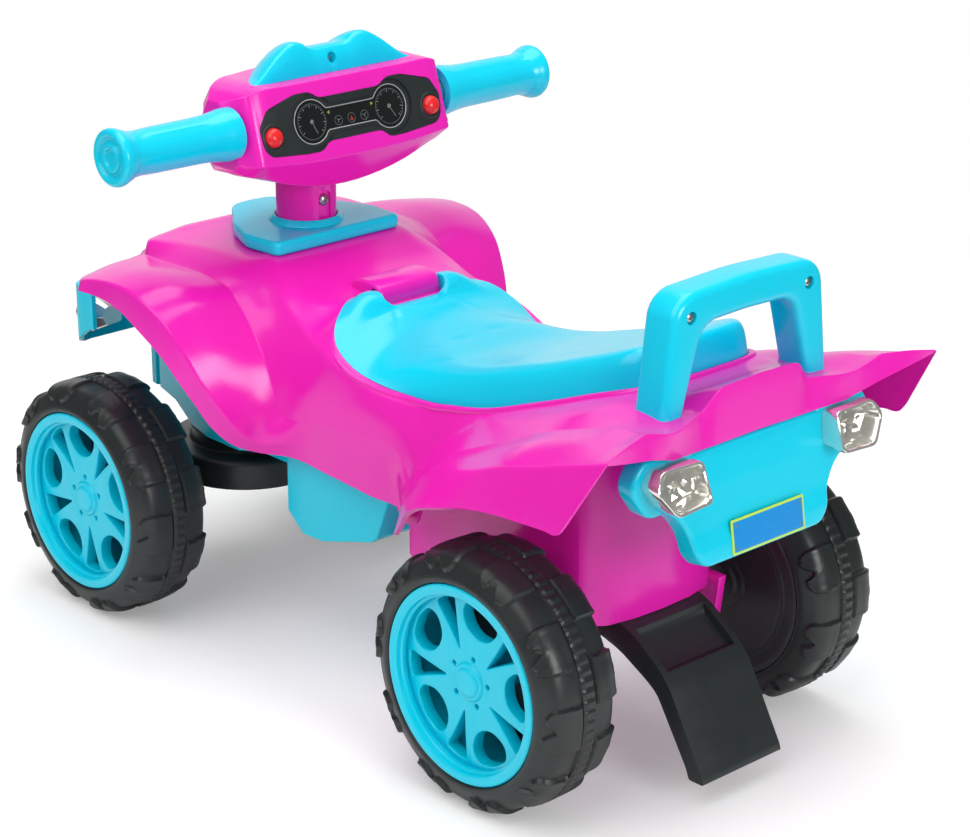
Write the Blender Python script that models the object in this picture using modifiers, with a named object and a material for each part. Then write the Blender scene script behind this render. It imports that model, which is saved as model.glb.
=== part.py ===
# A kids push car: a foot-to-floor ride-on toy in the shape of a quad bike.
# Lengths are in metres, +Z is up, the front is at -Y and the rider's left is +X.
# The origin is on the floor under the middle of the body.

import math

import bmesh
import bpy
from mathutils import Matrix, Vector
from mathutils.bvhtree import BVHTree

MM = 0.001

# Fits
SEAT_GAP = 0.3 * MM
RUNNING_GAP = 0.3 * MM

# Wheels
AXLE_HEIGHT = 83 * MM
FRONT_AXLE_Y = -214 * MM
REAR_AXLE_Y = 177 * MM
TYRE_INNER_X = 86 * MM
TYRE_WIDTH = 57 * MM
TYRE_SECTION = 20.5 * MM
SIDEWALL_DROP = 13 * MM
RIM_RADIUS = AXLE_HEIGHT - TYRE_SECTION
RIM_WALL = 6 * MM
SPOKE_RECESS = 9 * MM
SPOKE_THICKNESS = 6 * MM
SPOKES = 5
WINDOW_MARGIN = 5.5 * MM
FORK_ROOT = 16 * MM
HUB_RADIUS = 12 * MM
HUB_CAP_RADIUS = 9.5 * MM
LUG_HEIGHT = 2.6 * MM
LUGS = 10
BAND_WIDTH = 10 * MM
AXLE_RADIUS = 4 * MM
AXLE_END_INSET = 10 * MM

# Body shell
SHELL_THICKNESS = 2.7 * MM
HOOD_HEIGHT = 266 * MM
UNDER_SHELL_GAP = 0.6 * MM
LID_GAP = 0.4 * MM
LID_THICKNESS = 3 * MM

# Seat hinge
HINGE_Y = FRONT_AXLE_Y + 181 * MM
HINGE_HEIGHT = HOOD_HEIGHT - 14.5 * MM
HINGE_PIN_RADIUS = 1.5 * MM
HINGE_PIN_HALF_LENGTH = 40 * MM
KNUCKLE_RADIUS = 3.6 * MM
HINGE_BLOCK_HALF_WIDTH = 25 * MM
KNUCKLE_INNER_X = 27.5 * MM

# Steering
KINGPIN_TRAIL = 11 * MM
KINGPIN_RADIUS = 5 * MM
TURNTABLE_RADIUS = 58 * MM
TURNTABLE_TOP = 100 * MM
TURNTABLE_HEIGHT = 21 * MM
DOME_RADIUS = 42 * MM
DOME_TOP = 118 * MM
BEAM_HALF_DEPTH = 11 * MM
WHEEL_HUB_X = 84.3 * MM
COLUMN_Y = FRONT_AXLE_Y + 82 * MM
COLUMN_RADIUS = 20.5 * MM
STEERING_ROD_RADIUS = 4 * MM
CRANK_LENGTH = 28 * MM
LINK_THICKNESS = 4 * MM
LINK_PIN_RADIUS = 3 * MM
BEARING_PLATE_HEIGHT = DOME_TOP + 24 * MM
BEARING_PLATE_THICKNESS = 4 * MM
BASE_PLATE_THICKNESS = 9.7 * MM
COLLAR_HEIGHT = 4 * MM

# Handlebar and dash
BAR_Y = COLUMN_Y + 32 * MM
BAR_HEIGHT = HOOD_HEIGHT + 89 * MM
BAR_RADIUS = 11 * MM
GRIP_RADIUS = 14.5 * MM
GRIP_END_RADIUS = 18.5 * MM
GRIP_END_X = 181 * MM
DASH_HALF_WIDTH = 90 * MM
DASH_TOP = BAR_HEIGHT + 27 * MM
DASH_UNDERSIDE = BAR_HEIGHT - 50 * MM
COLUMN_TOP = BAR_HEIGHT - 25 * MM
DASH_FACE_LEAN = math.radians(14.5)
DASH_FACE_Y = BAR_Y + 17.5 * MM
DASH_FACE_HEIGHT = BAR_HEIGHT + 3 * MM
PANEL_THICKNESS = 3 * MM
PANEL_RECESS = 2.4 * MM
WINDOW_FLOOR = 1.2 * MM
LENS_THICKNESS = 1 * MM
BUTTON_X = 67 * MM
BUTTON_RADIUS = 6.5 * MM
BUTTON_TRAVEL = 2 * MM
BUTTON_DROP = 6 * MM
BUTTON_SKIRT = 3.6 * MM
COVER_HALF_WIDTH = 30 * MM
COWL_SCREW_RADIUS = 2.6 * MM
COLUMN_SCREW_RADIUS = 4.2 * MM

# Storage tub and chassis pan
TUB_HALF_WIDTH = 62 * MM
TUB_REAR_Y = REAR_AXLE_Y + 30 * MM
TUB_FRONT_Y = TUB_REAR_Y - 171 * MM
TUB_FLOOR = 100 * MM
TUB_WALL = 2.7 * MM
PAN_HALF_WIDTH = 76 * MM
PAN_WALL = 2.5 * MM
HOUSING_HALF_WIDTH = 50 * MM
HOUSING_WALL = 3 * MM

# Push handle
HANDLE_REAR_Y = REAR_AXLE_Y + 91 * MM
HANDLE_DEPTH = 25 * MM
HANDLE_TOP = HOOD_HEIGHT + 60 * MM
HANDLE_SCREW_RADIUS = 3.4 * MM

PINK = ("pink_plastic", (0.82, 0.012, 0.45), 0.3, 0.0)
CYAN = ("cyan_plastic", (0.0, 0.6, 0.8), 0.3, 0.0)
BLACK = ("black_plastic", (0.02, 0.025, 0.025), 0.4, 0.0)
TYRE = ("tyre_plastic", (0.015, 0.017, 0.017), 0.5, 0.0)
DISPLAY = ("display_plastic", (0.01, 0.01, 0.012), 0.15, 0.0)
RED = ("red_plastic", (0.75, 0.015, 0.02), 0.25, 0.0)
CHROME = ("chrome_plastic", (0.8, 0.8, 0.78), 0.08, 1.0)
STEEL = ("steel", (0.6, 0.6, 0.6), 0.35, 1.0)

model = bpy.data.collections.new("kids_push_car")


def clear_scene():
    for old in list(bpy.data.objects):
        bpy.data.objects.remove(old, do_unlink=True)
    bpy.context.scene.collection.children.link(model)


def material(look):
    """A Principled material, shared by the pieces of one plastic or metal."""
    name, colour, roughness, metallic = look
    made = bpy.data.materials.get(name)
    if made is None:
        made = bpy.data.materials.new(name)
        made.use_nodes = True
        shader = made.node_tree.nodes["Principled BSDF"]
        shader.inputs["Base Color"].default_value = (*colour, 1.0)
        shader.inputs["Roughness"].default_value = roughness
        shader.inputs["Metallic"].default_value = metallic
        made.diffuse_color = (*colour, 1.0)
    return made


# Shaping tools

def mesh_object(vertices, faces, name="shape"):
    mesh = bpy.data.meshes.new(name)
    mesh.from_pydata([tuple(vertex) for vertex in vertices], [], faces)
    shape = bpy.data.objects.new(name, mesh)
    model.objects.link(shape)
    return shape


def bake(shape):
    """Turn a curve, or a mesh with modifiers, into a plain welded mesh that faces out."""
    bpy.context.view_layer.update()
    graph = bpy.context.evaluated_depsgraph_get()
    mesh = bpy.data.meshes.new_from_object(shape.evaluated_get(graph))
    work = bmesh.new()
    work.from_mesh(mesh)
    bmesh.ops.remove_doubles(work, verts=work.verts, dist=1e-6)
    bmesh.ops.recalc_face_normals(work, faces=work.faces)
    work.to_mesh(mesh)
    work.free()
    baked = bpy.data.objects.new(shape.name, mesh)
    baked.matrix_world = shape.matrix_world
    model.objects.link(baked)
    bpy.data.objects.remove(shape, do_unlink=True)
    return baked


def triangulated(shape):
    """Split every face into triangles, so that a later cut meets only flat faces."""
    work = bmesh.new()
    work.from_mesh(shape.data)
    bmesh.ops.triangulate(work, faces=work.faces)
    work.to_mesh(shape.data)
    work.free()
    return shape


def moved(shape, matrix):
    shape.data.transform(matrix)
    if matrix.determinant() < 0:
        shape.data.flip_normals()
    return shape


def shifted(shape, x=0.0, y=0.0, z=0.0):
    return moved(shape, Matrix.Translation((x, y, z)))


def turned_to(shape, axis, angle):
    return moved(shape, Matrix.Rotation(angle, 4, axis))


def bevelled(shape, width, segments=2, angle=30.0):
    bevel = shape.modifiers.new("rounding", "BEVEL")
    bevel.width = width
    bevel.segments = segments
    bevel.limit_method = "ANGLE"
    bevel.angle_limit = math.radians(angle)
    return bake(shape)


def combine(shape, other, operation):
    boolean = shape.modifiers.new("boolean", "BOOLEAN")
    boolean.operation = operation
    boolean.solver = "EXACT"
    boolean.object = other
    result = bake(shape)
    bpy.data.objects.remove(other, do_unlink=True)
    return result


def cut(shape, cutter):
    return combine(shape, cutter, "DIFFERENCE")


def fuse(shape, other):
    return combine(shape, other, "UNION")


def block(low, high):
    work = bmesh.new()
    bmesh.ops.create_cube(work, size=1.0)
    size = [b - a for a, b in zip(low, high)]
    middle = [(a + b) / 2 for a, b in zip(low, high)]
    bmesh.ops.scale(work, vec=size, verts=work.verts)
    bmesh.ops.translate(work, vec=middle, verts=work.verts)
    mesh = bpy.data.meshes.new("block")
    work.to_mesh(mesh)
    work.free()
    shape = bpy.data.objects.new("block", mesh)
    model.objects.link(shape)
    return shape


def rod(radius, start, end, sides=24):
    """A round bar between two points."""
    start = Vector(start)
    run = Vector(end) - start
    work = bmesh.new()
    bmesh.ops.create_cone(work, cap_ends=True, segments=sides, radius1=radius, radius2=radius,
                          depth=run.length)
    mesh = bpy.data.meshes.new("rod")
    work.to_mesh(mesh)
    work.free()
    shape = bpy.data.objects.new("rod", mesh)
    model.objects.link(shape)
    turn = Vector((0, 0, 1)).rotation_difference(run).to_matrix().to_4x4()
    return moved(shape, Matrix.Translation(start + run / 2) @ turn)


def turned(profile, steps=32, ring=False):
    """A profile of (radius, height) points, top to bottom, turned round Z."""
    mesh = bpy.data.meshes.new("profile")
    edges = [(i, i + 1) for i in range(len(profile) - 1)]
    if ring:
        edges.append((len(profile) - 1, 0))
    mesh.from_pydata([(radius, 0.0, height) for radius, height in profile], edges, [])
    shape = bpy.data.objects.new("turned", mesh)
    model.objects.link(shape)
    screw = shape.modifiers.new("turn", "SCREW")
    screw.axis = "Z"
    screw.steps = steps
    screw.render_steps = steps
    screw.use_merge_vertices = True
    screw.merge_threshold = 1e-6
    return bake(shape)


def plate(outlines, thickness):
    """A flat plate in the XY plane: the first outline less the others, centred on z = 0."""
    curve = bpy.data.curves.new("outline", "CURVE")
    curve.dimensions = "2D"
    curve.fill_mode = "BOTH"
    curve.extrude = thickness / 2
    for outline in outlines:
        spline = curve.splines.new("POLY")
        spline.points.add(len(outline) - 1)
        for point, (x, y) in zip(spline.points, outline):
            point.co = (x, y, 0.0, 1.0)
        spline.use_cyclic_u = True
    shape = bpy.data.objects.new("plate", curve)
    model.objects.link(shape)
    return bake(shape)


def upright(shape):
    """Stand a flat plate up: its X stays X, its Y becomes Z, and it faces along Y."""
    return turned_to(shape, "X", math.pi / 2)


def sideways(shape):
    """Stand a flat plate up on its side: its X becomes Y, its Y becomes Z, and it faces along X."""
    order = Matrix(((0, 0, 1, 0), (1, 0, 0, 0), (0, 1, 0, 0), (0, 0, 0, 1)))
    return moved(shape, order)


def mirrored(half):
    """An outline from its half at +X. End points on x = 0 stay only where they make a corner."""
    half = list(half)
    if half[0][0] < 1e-9 and abs(half[0][1] - half[1][1]) < 1e-9:
        half = half[1:]
    if half[-1][0] < 1e-9 and abs(half[-1][1] - half[-2][1]) < 1e-9:
        half = half[:-1]
    other = [(-x, y) for x, y in reversed(half) if x > 1e-9]
    return half + other


def circle(radius, sides=24, x=0.0, y=0.0):
    turns = [2 * math.pi * i / sides for i in range(sides)]
    return [(x + radius * math.cos(a), y + radius * math.sin(a)) for a in turns]


def in_mm(points):
    return [tuple(value * MM for value in point) for point in points]


def area(outline):
    pairs = zip(outline, outline[1:] + outline[:1])
    return sum(a[0] * b[1] - b[0] * a[1] for a, b in pairs) / 2


def inset(outline, distance):
    """An outline moved inwards by a distance, corner by corner."""
    sign = 1.0 if area(outline) > 0 else -1.0
    count = len(outline)
    result = []
    for i in range(count):
        here = Vector(outline[i])
        before = (here - Vector(outline[i - 1])).normalized()
        after = (Vector(outline[(i + 1) % count]) - here).normalized()
        normal_before = Vector((-before.y, before.x)) * sign
        normal_after = Vector((-after.y, after.x)) * sign
        normal = (normal_before + normal_after).normalized()
        reach = distance / max(normal.dot(normal_after), 0.4)
        result.append(tuple(here + normal * reach))
    return result


def refined(outline, step):
    """The same outline with points no further apart than a step."""
    result = []
    for here, after in zip(outline, outline[1:] + outline[:1]):
        here, after = Vector(here), Vector(after)
        count = max(1, math.ceil((after - here).length / step))
        result += [tuple(here.lerp(after, i / count)) for i in range(count)]
    return result


def smooth_through(points, value):
    """A smooth value read from (position, value) points."""
    places = [point[0] for point in points]
    if value <= places[0]:
        return points[0][1]
    if value >= places[-1]:
        return points[-1][1]
    i = max(k for k, place in enumerate(places) if place <= value)
    i = min(i, len(points) - 2)
    a, b = points[i], points[i + 1]
    t = (value - a[0]) / (b[0] - a[0])

    def slope(k):
        low, high = max(k - 1, 0), min(k + 1, len(points) - 1)
        return (points[high][1] - points[low][1]) / (points[high][0] - points[low][0])

    span = b[0] - a[0]
    return (a[1] * (2 * t ** 3 - 3 * t ** 2 + 1) + slope(i) * span * (t ** 3 - 2 * t ** 2 + t)
            + b[1] * (3 * t ** 2 - 2 * t ** 3) + slope(i + 1) * span * (t ** 3 - t ** 2))


def walled(outline, wall, bottom, top, floor):
    """Upright walls on an outline. bottom and top give heights at a point, floor closes the bottom."""
    inner = inset(outline, wall)
    count = len(outline)
    vertices = [(x, y, bottom(x, y)) for x, y in outline]
    vertices += [(x, y, top(x, y)) for x, y in outline]
    vertices += [(x, y, top(x, y)) for x, y in inner]
    vertices += [(x, y, bottom(x, y) + (wall if floor else 0.0)) for x, y in inner]
    faces = []
    for i in range(count):
        j = (i + 1) % count
        for ring in range(3):
            a, b = ring * count, (ring + 1) * count
            faces.append((a + i, a + j, b + j, b + i))
        if not floor:
            faces.append((3 * count + i, 3 * count + j, j, i))
    if floor:
        faces.append(tuple(range(count)))
        faces.append(tuple(range(3 * count, 4 * count)))
    return triangulated(bake(mesh_object(vertices, faces)))


def loft(rings):
    """A closed solid through rings of equally many points, capped at both ends."""
    count = len(rings[0])
    vertices = [point for ring in rings for point in ring]
    faces = []
    for r in range(len(rings) - 1):
        for i in range(count):
            j = (i + 1) % count
            a, b = r * count, (r + 1) * count
            faces.append((a + i, a + j, b + j, b + i))
    faces.append(tuple(range(count)))
    faces.append(tuple(range((len(rings) - 1) * count, len(rings) * count)))
    return triangulated(bake(mesh_object(vertices, faces)))


def part(name, shape, look, origin=(0.0, 0.0, 0.0), smooth_angle=35.0):
    """Name a finished piece, give it its material and put its origin on its joint."""
    shape.name = name
    shape.data.name = name
    shape.data.transform(Matrix.Translation(-Vector(origin)))
    shape.location = origin
    shape.data.materials.clear()
    shape.data.materials.append(material(look))
    shape.data.shade_smooth()
    shape.data.set_sharp_from_angle(angle=math.radians(smooth_angle))
    return shape


# Body shell: rows of points across the left half, from the nose to the tail.
# Each row runs centre, seat ledge, shoulder, flank, crease, fender top, fender edge, hem.
# Points are (x, y, z) in millimetres. y counts from the front axle or the rear axle, so
# that the fenders stay over their wheels, and z from the hood's top.

def from_front(y):
    return FRONT_AXLE_Y + y * MM


def from_rear(y):
    return REAR_AXLE_Y + y * MM


def at_waist(y):
    """A place between the front and the rear rows, which stretches with the wheelbase."""
    start, end = from_front(192), from_rear(-111)
    return start + (y + 22) / 88 * (end - start)


def shell_row(place, centre, ledge, shoulder, flank, crease, edge, hem, crown):
    if flank is None:
        flank = [(a + b) / 2 for a, b in zip(shoulder, crease)]
        flank[0] += 1.0
        flank[2] += 1.0
    rise = math.hypot(edge[0] - crease[0], edge[2] - crease[2])
    top = [(a + b) / 2 for a, b in zip(crease, edge)]
    top[0] += crown * (crease[2] - edge[2]) / rise
    top[2] += crown * (edge[0] - crease[0]) / rise
    points = [(0.0, *centre), ledge, shoulder, flank, crease, top, edge, hem]
    return [Vector((x * MM, place(y), HOOD_HEIGHT + z * MM)) for x, y, z in points]


def shell_rows():
    return [
        shell_row(from_front, (-50, -42), (30, -49.5, -42.5), (46, -48, -44), None, (60, -44, -50),
                  (64, -42, -60), (64, -41, -70), 0.5),
        shell_row(from_front, (-26, -23), (32, -25, -23.5), (52, -24, -25), None, (70, -20, -31),
                  (74, -19, -51), (74, -18, -68), 1),
        shell_row(from_front, (-2, -7), (36, -1, -7), (60, 0, -8), None, (79, 2, -15), (82, 3, -38),
                  (82, 4, -58), 1),
        shell_row(from_front, (14, 0), (52, 14, 0), (80, 15, -1), None, (88, 16, -7.5), (140, 15, -19),
                  (142, 16, -27), 3),
        shell_row(from_front, (24, 0), (54, 24, 0), (80, 24, 0), None, (93, 25, -6), (146, 25, -16),
                  (150, 27, -23), 3),
        shell_row(from_front, (44, 0), (56, 44, 0), (77, 44, 0), None, (97, 44, -6.5), (148.5, 44, -11.7),
                  (150, 46, -22), 3),
        shell_row(from_front, (69, 0), (57, 69, 0), (73, 69, 0), None, (96, 69, -5.7), (150, 69, -9.4),
                  (150, 70, -25), 4),
        shell_row(from_front, (94, 0), (57, 94, 0), (69, 94, -1.5), None, (93, 94, -9.2),
                  (149.2, 94, -13.3), (149.5, 92, -35), 5),
        shell_row(from_front, (116, 0), (57, 116, 0), (66, 113, -4), None, (89.5, 114, -16.2),
                  (145.7, 114, -25), (146, 113, -50), 6),
        shell_row(from_front, (130, -5), (58, 130, -6), (68, 129, -9), None, (90, 126, -27), (141, 127, -41),
                  (142, 124, -64), 7),
        shell_row(from_front, (146, -11), (60, 146, -13.5), (72, 148, -17.5), None, (90, 137, -40),
                  (136, 137, -60), (134, 130, -80), 7),
        shell_row(from_front, (162, -14.5), (58, 162, -17.5), (75.5, 163, -26), None, (90, 147, -54),
                  (127, 144, -80), (125, 134, -96), 5),
        shell_row(from_front, (177, -16), (50, 178, -19), (79, 177, -32), None, (90, 156, -72),
                  (115, 149, -98), (112, 141, -110), 3),
        shell_row(from_front, (192, -24.5), (68, 192, -24.5), (82, 192, -37.5), None, (89, 164, -90),
                  (102, 154, -108), (101, 149, -115), 1),
        shell_row(at_waist, (-8, -34), (78, -8, -34.5), (84, -8, -42.5), (86, -18, -61), (87, -32, -88),
                  (87, -40, -106), (86, -47, -117.5), 0),
        shell_row(at_waist, (11, -42), (77.5, 11, -45), (82.8, 11, -49.5), (84.5, 6, -66), (85.5, 0, -86),
                  (84.5, -8, -104), (83.5, -14, -120), 0),
        shell_row(at_waist, (33, -49), (73, 33, -51), (79, 33, -52.7), (82.5, 32, -66), (83, 30, -84),
                  (82, 28, -104), (81, 27, -124), 0),
        shell_row(at_waist, (52, -51), (68.5, 52, -52.7), (75, 52, -54), (80, 52, -69), (81.5, 53, -86),
                  (81, 54, -106), (80.5, 55, -126), 0),
        shell_row(from_rear, (-111, -51.5), (67, -111, -53), (71.5, -111, -53.7), (80, -111, -81),
                  (83, -110, -100), (86, -111, -114), (88, -112, -125.5), 0.5),
        shell_row(from_rear, (-99, -50.5), (66, -99, -52.2), (69.8, -98, -52.8), (80.5, -98, -86),
                  (90, -97, -97.5), (99, -99, -109), (103, -101, -123), 1),
        shell_row(from_rear, (-77, -47.5), (64.5, -77, -48.5), (68, -77, -49), (78.5, -77, -66),
                  (93, -76, -78), (106, -77, -87), (118, -76, -105), 1.5),
        shell_row(from_rear, (-56, -43.5), (63.5, -56, -43.7), (67, -56, -44.4), (76, -55, -50),
                  (95.5, -56, -65), (112, -57, -74), (127, -57, -92), 2),
        shell_row(from_rear, (-25, -32), (62, -25, -33), (65.5, -25, -33.7), (79, -25, -39), (99, -25, -50),
                  (124, -25, -59.5), (137, -25, -79), 2.5),
        shell_row(from_rear, (3, -23), (60, 3, -23), (63.5, 3, -23.7), (80, 3, -28), (100, 3, -37.5),
                  (132, 2, -49), (143.5, 3, -69), 2.5),
        shell_row(from_rear, (29, -13.5), (56, 29, -13.5), (60, 29, -14), (79, 29, -18), (100, 29, -26),
                  (137, 28, -38), (147, 30, -63), 2.5),
        shell_row(from_rear, (54, -6.5), (44, 54, -6.7), (52, 53, -7.2), (76, 54, -10), (98, 56, -17),
                  (140, 56, -29), (148, 55, -60.5), 2.5),
        shell_row(from_rear, (78, -4), (44, 78, -4), (52, 77, -4.5), (76, 79, -5.5), (97, 82, -7),
                  (141, 87, -19), (148.5, 76, -58), 2),
        shell_row(from_rear, (100, 5), (36.5, 99.7, 4.6), (50, 95, -5.5), (76, 107, -4.5), (101, 107, 4),
                  (141.6, 117, -9.4), (148.8, 88.6, -55.3), 1),
    ]


def tail_row():
    """The lower edge of the upright face that closes the tail."""
    points = [(0, 99.5, -30), (36, 99.5, -30.5), (50, 99.5, -30.5), (74, 103, -29), (97, 109, -21),
              (120, 112, -16.5), (138.5, 115.3, -12)]
    return [Vector((x * MM, REAR_AXLE_Y + y * MM, HOOD_HEIGHT + z * MM)) for x, y, z in points]


def shell_surface():
    """The open outer surface of the whole body, both halves."""
    rows = shell_rows()
    rows.append(tail_row())
    vertices = [point for row in rows for point in row]
    starts = []
    for row in rows:
        starts.append(sum(len(earlier) for earlier in rows[:len(starts)]))
    faces = []
    for r in range(len(rows) - 1):
        across = min(len(rows[r]), len(rows[r + 1])) - 1
        for c in range(across):
            a, b = starts[r] + c, starts[r + 1] + c
            faces.append((a, a + 1, b + 1, b))
    surface = mesh_object(vertices, faces, "body_surface")
    mirror = surface.modifiers.new("both sides", "MIRROR")
    mirror.use_axis = (True, False, False)
    mirror.merge_threshold = 1e-5
    return surface


def shell_solid():
    surface = shell_surface()
    solid = surface.modifiers.new("wall", "SOLIDIFY")
    solid.thickness = SHELL_THICKNESS
    solid.offset = -1.0
    solid.use_even_offset = True
    solid.use_quality_normals = True
    return triangulated(bake(surface))


class ShellHeights:
    """Heights of the body shell's top and underside, read before its holes are cut."""

    def __init__(self, solid):
        vertices = [vertex.co.copy() for vertex in solid.data.vertices]
        faces = [tuple(face.vertices) for face in solid.data.polygons]
        self.tree = BVHTree.FromPolygons(vertices, faces)

    def above(self, x, y):
        return self.tree.ray_cast(Vector((x, y, 2 * HOOD_HEIGHT)), Vector((0, 0, -1)))[0].z

    def below(self, x, y):
        return self.tree.ray_cast(Vector((x, y, 0.0)), Vector((0, 0, 1)))[0].z

    def highest(self, start, end):
        """How far the shell's top rises over the straight line between two places on it."""
        start, end = Vector(start), Vector(end)
        low, high = self.above(*start), self.above(*end)
        rises = [0.0]
        for i in range(1, 8):
            here = start.lerp(end, i / 8)
            rises.append(self.above(*here) - (low + (high - low) * i / 8))
        return max(rises)


def body_shell(solid):
    shape = fuse(solid, hinge_block())
    shape = cut(shape, hinge_bore(-HINGE_PIN_HALF_LENGTH, HINGE_PIN_HALF_LENGTH))
    front, rear = TUB_FRONT_Y / MM + 10, TUB_REAR_Y / MM - 15
    half = [(0, front), (42, front), (48, front + 6), (48, rear - 20), (42, rear - 2), (0, rear)]
    mouth = mirrored(in_mm(half))
    depth = 140 * MM
    shape = cut(shape, shifted(plate([mouth], depth), z=HOOD_HEIGHT - 26 * MM))
    column_hole = COLUMN_RADIUS + 3 * MM
    shape = cut(shape, rod(column_hole, (0, COLUMN_Y, HOOD_HEIGHT - 26 * MM),
                           (0, COLUMN_Y, HOOD_HEIGHT + 14 * MM), 24))
    for side in (-1, 1):
        shape = cut(shape, handle_leg_hole(side))
    return part("body_shell", shape, PINK)


# Seat

def hinge_block():
    """The raised block on the deck that holds the middle of the hinge pin."""
    side = [(-24, -20), (-24, -12), (-18, -8.5), (-4, -8), (6, -11.5), (7, -26)]
    side = [(HINGE_Y + y * MM, HOOD_HEIGHT + z * MM) for y, z in side]
    shape = sideways(plate([side], 2 * HINGE_BLOCK_HALF_WIDTH))
    return bevelled(shape, 1.2 * MM, 1)


def hinge_bore(start_x, end_x):
    radius = HINGE_PIN_RADIUS + RUNNING_GAP
    return rod(radius, (start_x, HINGE_Y, HINGE_HEIGHT), (end_x, HINGE_Y, HINGE_HEIGHT), 12)


def hinge_pin():
    shape = rod(HINGE_PIN_RADIUS, (-HINGE_PIN_HALF_LENGTH, HINGE_Y, HINGE_HEIGHT),
                (HINGE_PIN_HALF_LENGTH, HINGE_Y, HINGE_HEIGHT), 12)
    return part("seat_hinge_pin", shape, STEEL)


def lid_outline():
    """The seat's lower edge in plan. It follows the shell's ledge and goes round the hinge block."""
    notch_y = HINGE_Y + 9 * MM
    front = [(0.0, notch_y), (KNUCKLE_INNER_X - 1 * MM, notch_y), (KNUCKLE_INNER_X, HINGE_Y - 3 * MM)]
    front += [(x * MM, HINGE_Y + y * MM) for x, y in ((45, 0), (61, 6.5), (71, 14))]
    ledge = [(row[1].x, row[1].y) for row in shell_rows()[14:25]]
    back = [(51 * MM, from_rear(44)), (42 * MM, from_rear(52)), (28 * MM, from_rear(55)), (0.0, from_rear(55.5))]
    return mirrored(front + ledge + back)


def lid_place(x, y, step):
    """A place on the way from the lid's edge to its middle line, kept clear of the hinge block."""
    knee_step = 0.35
    spine = Vector((0.0, min(max(y, HINGE_Y + 25 * MM), from_rear(28))))
    edge = Vector((x, y))
    knee = edge.lerp(spine, knee_step)
    if y < HINGE_Y + 8 * MM:
        knee.x += math.copysign(max(0.0, 60 * MM - abs(x)) * 0.33, x)
        knee.y = max(knee.y, HINGE_Y + 12 * MM)
    if step <= knee_step:
        return edge.lerp(knee, step / knee_step)
    return knee.lerp(spine, (step - knee_step) / (1 - knee_step))


def lid_surface(outline, heights, drop):
    """Rings of points from the lid's edge to its middle line."""
    crown = [(from_front(178), -15), (from_front(190), -19), (at_waist(0), -26),
             (at_waist(22), -28.5), (at_waist(50), -30), (from_rear(-104), -29.5),
             (from_rear(-79), -25), (from_rear(-60), -19.5), (from_rear(-25), -9),
             (from_rear(-2), -1), (from_rear(23), 8), (from_rear(41), 14.5), (from_rear(55), 16.5)]
    steepness = [(from_front(178), 1.5), (at_waist(0), 1.6), (at_waist(25), 3),
                 (at_waist(53), 7), (from_rear(-79), 14), (from_rear(55), 18)]
    rings = []
    edges = []
    for i, place in enumerate(outline):
        after = outline[(i + 1) % len(outline)]
        rise = max(heights.highest(outline[i - 1], place), heights.highest(place, after))
        edges.append(heights.above(*place) + rise + LID_GAP)
    for step in (0.0, 0.04, 0.12, 0.35, 0.7):
        ring = []
        for (x, y), edge in zip(outline, edges):
            px, py = lid_place(x, y, step)
            top = HOOD_HEIGHT + smooth_through(crown, py) * MM - drop
            power = smooth_through(steepness, py)
            share = 1 - (1 - step) ** power
            ring.append((px, py, edge + (top - edge) * share))
        rings.append(ring)
    return rings


def seat_lid(heights):
    outline = lid_outline()
    outer = lid_surface(outline, heights, 0.0)
    inner = lid_surface(inset(outline, LID_THICKNESS), heights, LID_THICKNESS)
    count = len(outline)
    half = count // 2
    vertices = []
    faces = []
    for rings in (outer, inner):
        base = len(vertices)
        for ring in rings:
            vertices += ring
        for r in range(len(rings) - 1):
            for i in range(count):
                j = (i + 1) % count
                a, b = base + r * count, base + (r + 1) * count
                faces.append((a + i, a + j, b + j, b + i))
        last = base + (len(rings) - 1) * count
        for i in range(1, half):
            j = count - i
            if i + 1 == j - 1:
                faces.append((last + i, last + i + 1, last + j))
            else:
                faces.append((last + i, last + i + 1, last + j - 1, last + j))
        faces.append((last, last + 1, last + count - 1))
    size = len(outer) * count
    for i in range(count):
        j = (i + 1) % count
        faces.append((i, j, size + j, size + i))
    shape = triangulated(bake(mesh_object(vertices, faces)))
    for side in (-1, 1):
        start = (side * KNUCKLE_INNER_X, HINGE_Y, HINGE_HEIGHT)
        end = (side * HINGE_PIN_HALF_LENGTH, HINGE_Y, HINGE_HEIGHT)
        shape = fuse(shape, rod(KNUCKLE_RADIUS, start, end, 16))
    reach = HINGE_PIN_HALF_LENGTH + 1 * MM
    shape = cut(shape, hinge_bore(-reach, reach))
    return part("seat_lid", shape, CYAN, (0.0, HINGE_Y, HINGE_HEIGHT))


# Wheels

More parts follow.
